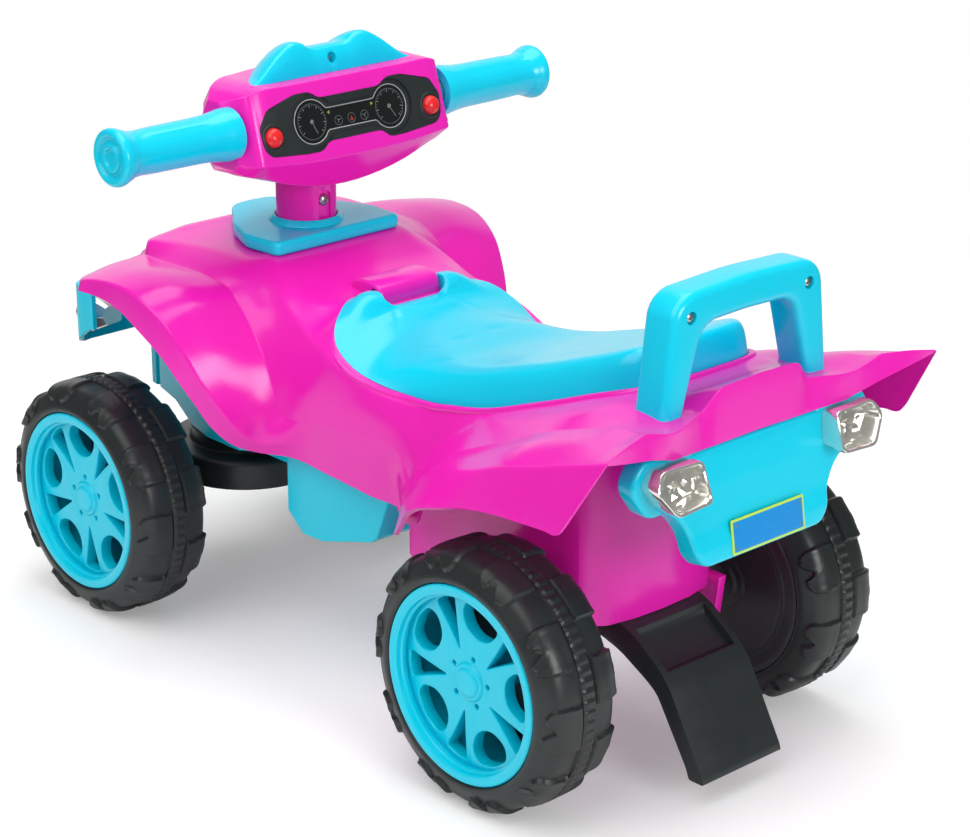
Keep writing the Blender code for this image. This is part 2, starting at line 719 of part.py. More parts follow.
def tyre_mesh():
    """A tyre round the X axis, inner side at x = 0: lugs on both shoulders, half a pitch apart.

    The middle of one narrow facet points straight down, and the car stands on it.
    """
    pitch = 2 * math.pi / LUGS
    stations = (0.0, 0.12, 0.5, 0.62, 0.81)
    outer_lug = (0, 1, 1, 0, 0)
    standing_facet = (stations[3] + stations[4]) / 2
    radius = AXLE_HEIGHT / math.cos((stations[4] - stations[3]) / 2 * pitch)
    low = radius - LUG_HEIGHT
    width = TYRE_WIDTH
    band = BAND_WIDTH / 2
    middle = width / 2
    widest_step = (stations[2] - stations[1]) * pitch
    lip = (RIM_RADIUS + SEAT_GAP) / math.cos(widest_step / 2)
    wall_top = radius - SIDEWALL_DROP
    columns = [
        (0.0, wall_top, wall_top),
        (6 * MM, low - 2 * MM, radius - 1.5 * MM),
        (middle - band, low, radius - 0.2 * MM),
        (middle - band + 1 * MM, radius, radius),
        (middle + band - 1 * MM, radius, radius),
        (middle + band, low, radius - 0.2 * MM),
        (width - 6 * MM, low - 2 * MM, radius - 1.5 * MM),
        (width, wall_top, wall_top),
        (width, lip, lip),
        (0.0, lip, lip),
    ]
    vertices = []
    for lug in range(LUGS):
        for place, raised in zip(stations, outer_lug):
            angle = math.pi + (lug + place - standing_facet) * pitch
            for x, groove, top in columns:
                high = raised if x > middle else 1 - raised
                r = top if high else groove
                vertices.append((x, r * math.sin(angle), r * math.cos(angle)))
    return vertices, len(columns)


def tyre():
    vertices, count = tyre_mesh()
    rows = len(vertices) // count
    faces = []
    for row in range(rows):
        a, b = row * count, (row + 1) % rows * count
        for i in range(count):
            j = (i + 1) % count
            faces.append((a + i, a + j, b + j, b + i))
    return bake(mesh_object(vertices, faces))


def ray(radius, degrees):
    angle = math.radians(degrees)
    return (radius * math.cos(angle), radius * math.sin(angle))


def spoke_plate():
    """The forked spokes: a disc with a wide and a narrow window for each fork."""
    near = HUB_RADIUS + FORK_ROOT
    far = RIM_RADIUS - RIM_WALL - WINDOW_MARGIN
    fork = ((0, 0), (0.26, 13), (0.7, 17), (1, 10), (1, -10), (0.7, -17), (0.26, -13))
    outlines = [circle(RIM_RADIUS - RIM_WALL / 2, 20)]
    for spoke in range(SPOKES):
        middle = 360 / SPOKES * spoke + 90
        outlines.append([ray(near + (far - near) * share, middle + turn) for share, turn in fork])
        between = middle + 180 / SPOKES
        tip = ray(HUB_RADIUS + FORK_ROOT / 2, between)
        outlines.append([tip, ray(far, between + 8), ray(far, between - 8)])
    return plate(outlines, SPOKE_THICKNESS)


def rim():
    """A rim round the X axis, inner side of the tyre at x = 0."""
    width = TYRE_WIDTH
    inside = RIM_RADIUS - RIM_WALL
    barrel = turned([(RIM_RADIUS - 7 * MM, width), (RIM_RADIUS - 1.5 * MM, width),
                     (RIM_RADIUS, width - 1.5 * MM), (RIM_RADIUS, 0.0), (inside, 0.0),
                     (inside, width - 7 * MM)], 20, ring=True)
    face = width - SPOKE_RECESS
    shape = fuse(barrel, shifted(spoke_plate(), z=face - SPOKE_THICKNESS / 2))
    inner_end = WHEEL_HUB_X - TYRE_INNER_X
    shape = fuse(shape, rod(HUB_RADIUS, (0, 0, inner_end), (0, 0, face + 1 * MM), 10))
    shape = cut(shape, rod(AXLE_RADIUS + RUNNING_GAP, (0, 0, inner_end - 1 * MM), (0, 0, face + 2 * MM), 10))
    return turned_to(shape, "Y", math.pi / 2)


def hub_cap():
    start = TYRE_WIDTH - SPOKE_RECESS + 1 * MM + SEAT_GAP
    r = HUB_CAP_RADIUS
    shape = turned([(0.0, start + 3 * MM), (r - 2 * MM, start + 2.6 * MM), (r, start + 1 * MM), (r, start),
                    (0.0, start)], 12)
    return turned_to(shape, "Y", math.pi / 2)


def wheel(corner, side, axle_y):
    """One wheel, turned round for the right side so that the spokes face out."""
    centre = Vector((side * TYRE_INNER_X, axle_y, AXLE_HEIGHT))
    place = Matrix.Translation(centre)
    if side < 0:
        place = place @ Matrix.Rotation(math.pi, 4, "Z")
    hub = (side * (TYRE_INNER_X + TYRE_WIDTH / 2), axle_y, AXLE_HEIGHT)
    part("tyre_" + corner, moved(tyre(), place), TYRE, hub)
    part("rim_" + corner, moved(rim(), place), CYAN, hub)
    part("hub_cap_" + corner, moved(hub_cap(), place), CYAN, hub)


def axle(name, axle_y, origin):
    reach = TYRE_INNER_X + TYRE_WIDTH - AXLE_END_INSET
    shape = rod(AXLE_RADIUS, (-reach, axle_y, AXLE_HEIGHT), (reach, axle_y, AXLE_HEIGHT), 16)
    return part(name, shape, STEEL, origin)


# Front carriage

def kingpin_y():
    return FRONT_AXLE_Y + KINGPIN_TRAIL


def turntable():
    y = kingpin_y()
    r = TURNTABLE_RADIUS
    base = TURNTABLE_TOP - TURNTABLE_HEIGHT
    profile = [(0.0, DOME_TOP), (DOME_RADIUS - 6 * MM, DOME_TOP), (DOME_RADIUS, DOME_TOP - 6 * MM),
               (DOME_RADIUS, TURNTABLE_TOP), (r - 2 * MM, TURNTABLE_TOP), (r, TURNTABLE_TOP - 2 * MM), (r, base),
               (0.0, base)]
    shape = shifted(turned(profile, 24), y=y)
    beam_end = WHEEL_HUB_X - SEAT_GAP
    beam = block((-beam_end, FRONT_AXLE_Y - BEAM_HALF_DEPTH, AXLE_HEIGHT - BEAM_HALF_DEPTH),
                 (beam_end, FRONT_AXLE_Y + BEAM_HALF_DEPTH, AXLE_HEIGHT + BEAM_HALF_DEPTH))
    shape = fuse(shape, bevelled(beam, 3 * MM, 1))
    shape = cut(shape, rod(KINGPIN_RADIUS + RUNNING_GAP, (0, y, 0.05), (0, y, DOME_TOP + 5 * MM), 20))
    reach = beam_end + 5 * MM
    shape = cut(shape, rod(AXLE_RADIUS + RUNNING_GAP, (-reach, FRONT_AXLE_Y, AXLE_HEIGHT),
                           (reach, FRONT_AXLE_Y, AXLE_HEIGHT), 16))
    hole = LINK_PIN_RADIUS + RUNNING_GAP + 0.1 * MM
    x = -CRANK_LENGTH
    shape = cut(shape, rod(hole, (x, y, DOME_TOP - 12 * MM), (x, y, DOME_TOP + 5 * MM), 12))
    return part("turntable", shape, BLACK, (0.0, y, 0.0))


def kingpin():
    y = kingpin_y()
    head = BEARING_PLATE_HEIGHT + BEARING_PLATE_THICKNESS + SEAT_GAP
    foot = TURNTABLE_TOP - TURNTABLE_HEIGHT
    r = KINGPIN_RADIUS
    shape = turned([(0.0, head + 5 * MM), (8 * MM, head + 4 * MM), (9 * MM, head + 2 * MM),
                    (9 * MM, head), (r, head), (r, foot), (0.0, foot)], 20)
    return part("kingpin", shifted(shape, y=y), STEEL, (0.0, y, 0.0))


def link_height():
    return DOME_TOP + 2 * MM


def drag_link():
    """The bar that carries the crank's turn to the turntable."""
    x = -CRANK_LENGTH
    low = link_height()
    half = 5 * MM
    length = COLUMN_Y - kingpin_y()
    bend = [(half * math.cos(math.pi * i / 6), half * math.sin(math.pi * i / 6)) for i in range(7)]
    outline = [(across, length + along) for across, along in bend]
    outline += [(-across, -along) for across, along in bend]
    shape = shifted(plate([outline], LINK_THICKNESS), z=LINK_THICKNESS / 2)
    down = rod(LINK_PIN_RADIUS, (0, 0, -11.5 * MM), (0, 0, LINK_THICKNESS / 2), 12)
    shape = fuse(shape, down)
    up = rod(LINK_PIN_RADIUS, (0, length, LINK_THICKNESS / 2), (0, length, LINK_THICKNESS + 5 * MM), 12)
    shape = fuse(shape, up)
    shape = shifted(shape, x=x, y=kingpin_y(), z=low)
    return part("drag_link", shape, STEEL, (x, COLUMN_Y, low))


# Steering column

def steering_rod():
    low = link_height() + LINK_THICKNESS + SEAT_GAP
    thick = 4.7 * MM
    half = 6 * MM
    bend = [(half * math.sin(math.pi * i / 6), -half * math.cos(math.pi * i / 6)) for i in range(7)]
    arm = bend + [(-CRANK_LENGTH - across, -along) for across, along in bend]
    shape = shifted(plate([arm], thick), y=COLUMN_Y, z=low + thick / 2)
    shape = fuse(shape, rod(STEERING_ROD_RADIUS, (0, COLUMN_Y, low + thick / 2),
                            (0, COLUMN_Y, column_bore_top() - 2 * MM), 16))
    hole = LINK_PIN_RADIUS + RUNNING_GAP
    x = -CRANK_LENGTH
    shape = cut(shape, rod(hole, (x, COLUMN_Y, low - 2 * MM), (x, COLUMN_Y, low + thick + 2 * MM), 12))
    return part("steering_rod", shape, STEEL, (0.0, COLUMN_Y, 0.0))


def column_bore_top():
    return COLUMN_TOP - 28 * MM


def column_tube():
    r = COLUMN_RADIUS
    low = BEARING_PLATE_HEIGHT + BEARING_PLATE_THICKNESS + SEAT_GAP
    top = COLUMN_TOP - SEAT_GAP
    bore = STEERING_ROD_RADIUS + RUNNING_GAP
    bore_top = column_bore_top()
    shape = turned([(0.0, top), (r, top), (r, low), (bore, low), (bore, bore_top), (0.0, bore_top)], 24)
    shape = shifted(shape, y=COLUMN_Y)
    height = column_screw_height()
    recess = rod(COLUMN_SCREW_RADIUS + SEAT_GAP, (0, COLUMN_Y + r - 3 * MM, height),
                 (0, COLUMN_Y + r + 3 * MM, height), 12)
    shape = cut(shape, recess)
    return part("column_tube", shape, PINK, (0.0, COLUMN_Y, 0.0))


def column_screw_height():
    """Halfway between the base plate's collar and the dash."""
    collar_top = HOOD_HEIGHT + SEAT_GAP + BASE_PLATE_THICKNESS + COLLAR_HEIGHT
    return (collar_top + DASH_UNDERSIDE) / 2


def column_screw():
    y = COLUMN_Y + COLUMN_RADIUS - 3 * MM + SEAT_GAP
    height = column_screw_height()
    shape = rod(COLUMN_SCREW_RADIUS, (0, y, height), (0, y + 4 * MM, height), 12)
    return part("column_screw", shape, STEEL, (0.0, COLUMN_Y, 0.0))


def base_plate():
    """The six-sided plate on the hood with a collar round the column."""
    low = HOOD_HEIGHT + SEAT_GAP
    half = [(0, -64), (16, -62), (44, -24), (56, 4), (54, 35), (0, 35)]
    half = [(x * MM, COLUMN_Y + y * MM) for x, y in half]
    shape = shifted(plate([mirrored(half)], BASE_PLATE_THICKNESS), z=low + BASE_PLATE_THICKNESS / 2)
    shape = bevelled(shape, 2.5 * MM, 1)
    top = low + BASE_PLATE_THICKNESS
    crest = top + COLLAR_HEIGHT
    r = COLUMN_RADIUS
    collar = turned([(r - 1 * MM, crest), (r + 2 * MM, crest), (r + 3.5 * MM, top + 2 * MM),
                     (r + 3.5 * MM, top - 3 * MM), (r - 1 * MM, top - 3 * MM)], 24, ring=True)
    shape = fuse(shape, shifted(collar, y=COLUMN_Y))
    shape = cut(shape, rod(r + RUNNING_GAP, (0, COLUMN_Y, low - 10 * MM), (0, COLUMN_Y, crest + 10 * MM), 24))
    return part("base_plate", shape, CYAN)


# Dash

def dash_frame():
    """The plane of the dash's face: X across, Y up the face, Z out towards the rider."""
    turn = Matrix.Rotation(math.pi, 4, "Z") @ Matrix.Rotation(math.pi / 2 - DASH_FACE_LEAN, 4, "X")
    return Matrix.Translation((0, DASH_FACE_Y, DASH_FACE_HEIGHT)) @ turn


def from_bar(points):
    """Side-view points given in millimetres from the handlebar's middle line."""
    return [(BAR_Y + y * MM, BAR_HEIGHT + z * MM) for y, z in points]


def face_point(height):
    """The dash's face at a height over the handlebar, both in millimetres from its middle line."""
    rise = BAR_HEIGHT + height * MM - DASH_FACE_HEIGHT
    return ((DASH_FACE_Y - BAR_Y - rise * math.tan(DASH_FACE_LEAN)) / MM, height)


def dash_sections():
    """Side views of the dash from its middle outwards, as (x, points)."""
    top = (DASH_TOP - BAR_HEIGHT) / MM
    crest = face_point(top)
    end = DASH_HALF_WIDTH / MM
    return [
        (0, [crest, face_point(-23), (10, -46), (-50, -50), (-68, -27), (-60, 18), (-46, top)]),
        (50, [crest, face_point(-22), (12, -38), (-42, -43), (-58, -25), (-52, 17), (-40, top)]),
        (73, [crest, face_point(-20), (12, -30), (-32, -33), (-46, -21), (-42, 15), (-32, top)]),
        (end, [(-8, 20), (16, -21), (8, -25), (-16, -24), (-26, -14), (-26, 9), (-20, 20)]),
    ]


def button_well(side):
    """The hole for a button, in the dash's own frame."""
    low = -(BUTTON_SKIRT + BUTTON_TRAVEL + SEAT_GAP)
    return rod(BUTTON_RADIUS + RUNNING_GAP, (side * BUTTON_X, -BUTTON_DROP, low),
               (side * BUTTON_X, -BUTTON_DROP, 2 * BUTTON_RADIUS), 12)


def dash_housing():
    """The pink housing: a boat-shaped loft across, cut for panel, bar, column and cover."""
    half = dash_sections()
    both = [(-x, points) for x, points in reversed(half[1:])] + half
    rings = [[Vector((x * MM, y, z)) for y, z in from_bar(points)] for x, points in both]
    shape = bevelled(loft(rings), 3 * MM, 1, 25)
    depth = 20 * MM
    pocket = shifted(plate([inset(panel_outline(), -SEAT_GAP)], depth), z=depth / 2 - PANEL_RECESS)
    shape = cut(shape, moved(pocket, dash_frame()))
    reach = DASH_HALF_WIDTH + 5 * MM
    shape = cut(shape, rod(BAR_RADIUS + SEAT_GAP, (-reach, BAR_Y, BAR_HEIGHT), (reach, BAR_Y, BAR_HEIGHT), 24))
    shape = cut(shape, rod(COLUMN_RADIUS + SEAT_GAP, (0, COLUMN_Y, DASH_UNDERSIDE - 25 * MM),
                           (0, COLUMN_Y, COLUMN_TOP), 24))
    for side in (-1, 1):
        shape = cut(shape, moved(button_well(side), dash_frame()))
    shape = cut(shape, battery_pocket())
    return part("dash_housing", shape, PINK, (0.0, COLUMN_Y, 0.0))


def panel_outline():
    """The black panel's outline on the dash's face: two lobes and a narrow waist."""
    half = in_mm([(0, -13.5), (24, -13.5), (33, -19.5), (70, -19.5), (75, -15), (76, 5), (66, 17.5), (40, 17.5),
                  (34, 17), (26, 11), (0, 11)])
    return mirrored(half)


def lens_outline():
    """The gauge window: a disc at each end and a straight bar between."""
    half = []
    for i in range(9):
        angle = math.radians(-130 + 32.5 * i)
        half.append((33 * MM + 14.5 * MM * math.cos(angle), 14.5 * MM * math.sin(angle) - 1 * MM))
    half = [(0.0, -8.5 * MM), (18 * MM, -8.5 * MM)] + half + [(18 * MM, 6.5 * MM), (0.0, 6.5 * MM)]
    return mirrored(half)


def dash_panel():
    shape = plate([panel_outline()], PANEL_THICKNESS)
    shape = shifted(shape, z=PANEL_THICKNESS / 2 - PANEL_RECESS + SEAT_GAP)
    shape = bevelled(shape, 0.6 * MM, 1)
    depth = 10 * MM
    window = plate([inset(lens_outline(), -SEAT_GAP)], depth)
    shape = cut(shape, shifted(window, z=depth / 2 - PANEL_RECESS + WINDOW_FLOOR))
    for side in (-1, 1):
        shape = cut(shape, button_well(side))
    return part("dash_panel", moved(shape, dash_frame()), BLACK, (0.0, COLUMN_Y, 0.0))


def gauge_lens():
    floor = WINDOW_FLOOR - PANEL_RECESS + SEAT_GAP
    shape = shifted(plate([lens_outline()], LENS_THICKNESS), z=floor + LENS_THICKNESS / 2)
    return part("gauge_lens", moved(shape, dash_frame()), DISPLAY, (0.0, COLUMN_Y, 0.0))


def button(name, side):
    """A domed button. The dash's own frame faces the rider, so its x runs to the right."""
    x, y = -side * BUTTON_X, -BUTTON_DROP
    r = BUTTON_RADIUS
    profile = [(0.0, 5.6 * MM), (r * 0.45, 5 * MM), (r * 0.8, 3.4 * MM), (r, 1 * MM), (r, -BUTTON_SKIRT),
               (0.0, -BUTTON_SKIRT)]
    shape = shifted(turned(profile, 12), x=x, y=y)
    shape = moved(shape, dash_frame())
    return part(name, shape, RED, dash_frame() @ Vector((x, y, 0.0)))


def battery_pocket():
    """The pocket for the cover in the dash's front."""
    side = from_bar([(-72, -19), (-72, 11), (-55, 11), (-55, -19)])
    return sideways(plate([inset(side, -SEAT_GAP)], 2 * (COVER_HALF_WIDTH + SEAT_GAP)))


def battery_cover():
    """A cover let into the dash's front, which leans as that face does."""
    side = from_bar([(-67.2, -19), (-62.2, 11), (-55, 11), (-55, -19)])
    shape = sideways(plate([side], 2 * COVER_HALF_WIDTH))
    return part("battery_cover", shape, PINK, (0.0, COLUMN_Y, 0.0))


def cowl():
    """The cyan cowl on the dash: two humps with a dip that holds the screw."""
    low = SEAT_GAP / MM
    half = [(0, low), (68, low), (64, 5.3), (40, 20), (33, 23.5), (26, 23), (19, 18.5), (10, 15.5), (0, 15)]
    half = [(x * MM, DASH_TOP + z * MM) for x, z in half]
    depth = 42 * MM
    shape = shifted(upright(plate([mirrored(half)], depth)), y=BAR_Y - depth / 2)
    for vertex in shape.data.vertices:
        rise = max(0.0, vertex.co.z - DASH_TOP) / (24 * MM)
        if vertex.co.y < BAR_Y - depth / 2:
            vertex.co.y += 16 * MM * rise
        else:
            vertex.co.y -= 4 * MM * rise
    shape = bevelled(shape, 1.5 * MM, 1, 40)
    height = cowl_screw_height()
    hole = rod(COWL_SCREW_RADIUS + SEAT_GAP, (0, BAR_Y - 8 * MM, height), (0, BAR_Y + 10 * MM, height), 12)
    shape = cut(shape, hole)
    return part("cowl", shape, CYAN, (0.0, COLUMN_Y, 0.0))


def cowl_screw_height():
    return DASH_TOP + 10 * MM


def cowl_screw():
    height = cowl_screw_height()
    shape = rod(COWL_SCREW_RADIUS, (0, BAR_Y - 8 * MM + SEAT_GAP, height), (0, BAR_Y - 4 * MM, height), 12)
    return part("cowl_screw", shape, STEEL, (0.0, COLUMN_Y, 0.0))


def handlebar_tube():
    reach = GRIP_END_X - 9 * MM
    shape = rod(BAR_RADIUS, (-reach, BAR_Y, BAR_HEIGHT), (reach, BAR_Y, BAR_HEIGHT), 24)
    return part("handlebar_tube", shape, STEEL, (0.0, COLUMN_Y, 0.0))


def grip(name, side):
    start = DASH_HALF_WIDTH + SEAT_GAP
    end = GRIP_END_X
    r = GRIP_RADIUS
    bore = BAR_RADIUS + SEAT_GAP
    inner = end - 8 * MM
    profile = [(0.0, end - 1 * MM), (6 * MM, end - 1 * MM), (7 * MM, end), (8.5 * MM, end),
               (9.5 * MM, end - 1.2 * MM), (13 * MM, end - 1.2 * MM), (GRIP_END_RADIUS - 1.5 * MM, end - 1 * MM),
               (GRIP_END_RADIUS, end - 3 * MM), (GRIP_END_RADIUS - 0.5 * MM, end - 6 * MM), (r, end - 11 * MM),
               (r + 0.6 * MM, start + 12 * MM), (r + 1.3 * MM, start + 6 * MM), (r + 1.3 * MM, start),
               (bore, start), (bore, inner), (0.0, inner)]
    shape = turned_to(turned(profile, 16), "Y", side * math.pi / 2)
    return part(name, shifted(shape, y=BAR_Y, z=BAR_HEIGHT), CYAN, (0.0, COLUMN_Y, 0.0))


# Chassis

def tub_outline():
    w, front, back = TUB_HALF_WIDTH, TUB_FRONT_Y, TUB_REAR_Y
    half = [(0.0, front), (w - 10 * MM, front), (w - 3 * MM, front + 3 * MM), (w, front + 10 * MM),
            (w, back - 26 * MM), (w - 4 * MM, back - 16 * MM), (w - 18 * MM, back - 5 * MM),
            (w - 38 * MM, back - 1 * MM), (0.0, back)]
    return refined(mirrored(half), 18 * MM)


def storage_tub(heights):
    """The bin under the seat, with cheeks below its floor that carry the rear axle."""
    shape = walled(tub_outline(), TUB_WALL, lambda x, y: TUB_FLOOR,
                   lambda x, y: heights.below(x, y) - UNDER_SHELL_GAP, True)
    w = TUB_HALF_WIDTH
    reach = 24 * MM
    hub_end = WHEEL_HUB_X - SEAT_GAP
    for side in (-1, 1):
        cheek_top = (TUB_FLOOR + TUB_WALL - AXLE_HEIGHT) / MM
        cheek = in_mm([(-28, cheek_top), (-24, -10), (-12, -16), (12, -16), (22, -10), (26, cheek_top)])
        cheek = [(REAR_AXLE_Y + y, AXLE_HEIGHT + z) for y, z in cheek]
        wall = shifted(sideways(plate([cheek], 6 * MM)), x=side * (w - 4 * MM))
        shape = fuse(shape, wall)
        boss = rod(11 * MM, (side * (w - 5 * MM), REAR_AXLE_Y, AXLE_HEIGHT),
                   (side * hub_end, REAR_AXLE_Y, AXLE_HEIGHT), 20)
        shape = fuse(shape, boss)
    bore_end = hub_end + reach
    shape = cut(shape, rod(AXLE_RADIUS + RUNNING_GAP, (-bore_end, REAR_AXLE_Y, AXLE_HEIGHT),
                           (bore_end, REAR_AXLE_Y, AXLE_HEIGHT), 16))
    return part("storage_tub", shape, PINK)


def chassis_pan():
    """The belly pan between the wheels, open at the top, narrower towards the tub."""
    front, slope, rear = from_front(150), TUB_FRONT_Y - 12 * MM, TUB_FRONT_Y - SEAT_GAP
    top = HOOD_HEIGHT - 116 * MM
    side = [(front, top), (front, top - 46 * MM), (front + 13 * MM, top - 60 * MM),
            (front + 30 * MM, top - 61 * MM), (slope - 15 * MM, top - 50 * MM), (slope - 10 * MM, top - 46 * MM),
            (slope, top - 18 * MM), (rear, top - 7 * MM), (rear, top)]
    shape = sideways(plate([side], 2 * PAN_HALF_WIDTH))
    inner_side = inset(side, PAN_WALL)
    rim = top - 1.5 * PAN_WALL
    inner_side = [(y, z + 3 * PAN_WALL if z > rim else z) for y, z in inner_side]
    inner = sideways(plate([inner_side], 2 * (PAN_HALF_WIDTH - PAN_WALL)))
    shape = cut(shape, inner)
    for vertex in shape.data.vertices:
        share = (vertex.co.y - front) / (slope - front)
        vertex.co.x *= 1 - 0.16 * share
    return part("chassis_pan", shape, CYAN)


def front_housing(heights):
    """The box under the hood that carries the column and the kingpin."""
    w = HOUSING_HALF_WIDTH
    front = FRONT_AXLE_Y - 41 * MM
    back = COLUMN_Y + 27 * MM
    waist = COLUMN_Y - 18 * MM
    half = [(0.0, front), (w - 6 * MM, front), (w, front + 7 * MM), (w, front + 12 * MM),
            (w - 3 * MM, front + 14 * MM), (w, front + 16 * MM), (w, waist),
            (w - 10 * MM, waist + 12 * MM), (w - 10 * MM, back), (0.0, back)]
    plate_height = BEARING_PLATE_HEIGHT / MM
    lower = [(front / MM, plate_height - 1), (front / MM + 30, plate_height - 6),
             (front / MM + 58, plate_height - 27), (back / MM, plate_height - 27)]

    def bottom(x, y):
        places = [place for place in lower if place[0] <= y / MM + 0.001] or [lower[0]]
        after = [place for place in lower if place[0] > y / MM + 0.001] or [lower[-1]]
        a, b = places[-1], after[0]
        if b[0] == a[0]:
            return a[1] * MM
        share = min(max((y / MM - a[0]) / (b[0] - a[0]), 0.0), 1.0)
        return (a[1] + (b[1] - a[1]) * share) * MM

    outline = refined(mirrored(half), 20 * MM)
    def top(x, y):
        return heights.below(x, y) - UNDER_SHELL_GAP

    shape = walled(outline, HOUSING_WALL, bottom, top, False)
    bearing = plate([inset(outline, HOUSING_WALL / 2)], BEARING_PLATE_THICKNESS)
    bearing = shifted(bearing, z=BEARING_PLATE_HEIGHT + BEARING_PLATE_THICKNESS / 2)
    under, over = BEARING_PLATE_HEIGHT - 10 * MM, BEARING_PLATE_HEIGHT + 20 * MM
    for y, radius, sides in ((kingpin_y(), KINGPIN_RADIUS, 20), (COLUMN_Y, STEERING_ROD_RADIUS, 16)):
        bore = rod(radius + RUNNING_GAP, (0, y, under), (0, y, over), sides)
        bearing = cut(bearing, bore)
    shape = fuse(shape, bearing)
    return part("front_housing", shape, CYAN)


def below_hood(points):
    """Points (x, z) in millimetres, with z counted from the hood's top."""
    return [(x * MM, HOOD_HEIGHT + z * MM) for x, z in points]


def lamp_outline():
    """A rear lamp's face, outer side to the left of the car: five straight sides."""
    return below_hood([(56, -55), (86, -56.5), (98, -40), (91, -30), (57, -31)])


def headlight_outline():
    return below_hood([(68, -80), (94, -82), (101, -68), (94, -55), (68, -56)])


def nose_plane():
    """Where the front bumper's back lies against the shell's nose."""
    return from_front(-50) - SEAT_GAP


def flipped(outline, side):
    return [(side * x, y) for x, y in outline]


def front_bumper():
    """The fascia across the nose, with ends that turn back."""
    plane = nose_plane()
    outer = in_mm([(0, -3), (92, -3), (101, 2), (105, 8), (105, 26)])
    inner = in_mm([(102, 26), (102, 9), (99, 4.5), (91, 0), (0, 0)])
    outline = mirrored([(x, plane + y) for x, y in outer + inner])
    height = 45 * MM
    shape = shifted(plate([outline], height), z=HOOD_HEIGHT - 89 * MM + height / 2)
    shape = bevelled(shape, 0.8 * MM, 1, 50)
    for side in (-1, 1):
        hole = inset(flipped(headlight_outline(), side), -SEAT_GAP)
        shape = cut(shape, shifted(upright(plate([hole], 60 * MM)), y=plane))
    return part("front_bumper", shape, CYAN)


def headlight(name, side):
    plane = nose_plane()
    outline = flipped(headlight_outline(), side)
    body = shifted(upright(plate([outline], 32 * MM)), y=plane)
    front = plane - 3 * MM - SEAT_GAP
    depth = 14 * MM
    bezel = shifted(upright(plate([inset(outline, -2.5 * MM)], depth)), y=front - depth / 2)
    shape = fuse(body, bevelled(bezel, 2 * MM, 1))
    bowl = upright(plate([inset(outline, 2 * MM)], 12 * MM))
    shape = cut(shape, shifted(bowl, y=front - depth))
    return part(name, shape, CHROME)


def rear_bumper_outline():
    """The bumper's outline, with z counted down from its top edge."""
    half = in_mm([(0, -65.8), (52, -65.8), (57, -62.2), (66, -39.2), (86, -24.2), (90, -3.2), (84, 0), (0, 0)])
    return mirrored(half)


def rear_bumper():
    """The panel under the tail, hollow towards the tub, with wings behind the lamps."""
    lean = math.atan2(10, 66)
    depth = 16 * MM
    outline = rear_bumper_outline()
    shape = upright(plate([outline], depth))
    hollow = upright(plate([inset(outline, 3 * MM)], depth))
    shape = cut(bevelled(shape, 1.2 * MM, 1, 60), shifted(hollow, y=-3 * MM))
    shape = turned_to(shape, "X", lean)
    shape = shifted(shape, y=from_rear(99.5) - depth / 2, z=HOOD_HEIGHT - 31.7 * MM)
    for side in (-1, 1):
        hole = inset(flipped(lamp_outline(), side), -SEAT_GAP)
        shape = cut(shape, shifted(upright(plate([hole], 100 * MM)), y=from_rear(100)))
    return part("rear_bumper", shape, CYAN)


def tail_light(name, side):
    outline = flipped(lamp_outline(), side)
    back, face = from_rear(88), from_rear(120)
    middle = (back + face) / 2
    foot = min(z for x, z in outline)
    shape = shifted(upright(plate([outline], face - back)), y=middle)
    shape = bevelled(shape, 2 * MM, 1, 50)
    for vertex in shape.data.vertices:
        if vertex.co.y > middle:
            vertex.co.y -= (vertex.co.z - foot) * 0.36
    bowl = upright(plate([inset(outline, 4 * MM)], 20 * MM))
    shape = cut(shape, shifted(bowl, y=face + 1 * MM))
    return part(name, shape, CHROME)


def anti_tip_foot():
    """The sloping foot behind the tub that stops the car from tipping back."""
    y = TUB_REAR_Y
    top = TUB_FLOOR - SEAT_GAP
    outer = in_mm([(-3, 0), (8, -4), (31, -21), (39, -30), (68, -79), (69, -83), (57, -83), (55, -77), (29, -36),
                   (20, -30), (-3, -18), (-21, -13), (-21, 0)])
    side = [(y + dy, top + dz) for dy, dz in outer]
    shape = sideways(plate([side], 70 * MM))
    shape = bevelled(shape, 2 * MM, 1, 40)
    groove = in_mm([(10, 4), (14, -6), (33, -20), (41, -29.5), (66, -72), (80, -72), (80, 4)])
    groove = [(y + dy, top + dz) for dy, dz in groove]
    shape = cut(shape, sideways(plate([groove], 58 * MM)))
    hollow = in_mm([(-30, -14), (-2, -19.5), (20, -31.5), (28, -37), (52, -77), (40, -90), (-30, -90)])
    hollow = [(y + dy, top + dz + 5 * MM) for dy, dz in hollow]
    shape = cut(shape, sideways(plate([hollow], 62 * MM)))
    return part("anti_tip_foot", shape, BLACK)


# Push handle

def leg_outer():
    """The outer side of a leg, from the bar down into its socket."""
    top, foot = HANDLE_TOP / MM, HOOD_HEIGHT / MM - 26
    return in_mm([(50, top), (58, top - 4), (63, top - 11), (71.5, foot + 12), (72.5, foot)])


def leg_inner():
    """The inner side of a leg, from its foot up to the bar."""
    top, foot = HANDLE_TOP / MM, HOOD_HEIGHT / MM - 26
    return in_mm([(55.5, foot), (54.3, foot + 14), (41, top - 29), (37, top - 23.5), (30, top - 20.5)])


def handle_outline():
    """The handle seen from behind: legs that lean in to a rounded bar."""
    crest = (0.0, HANDLE_TOP + 2 * MM)
    under = (0.0, HANDLE_TOP - 19.5 * MM)
    right = leg_outer() + leg_inner()
    left = [(-x, z) for x, z in reversed(right)]
    return [crest] + right + [under] + left


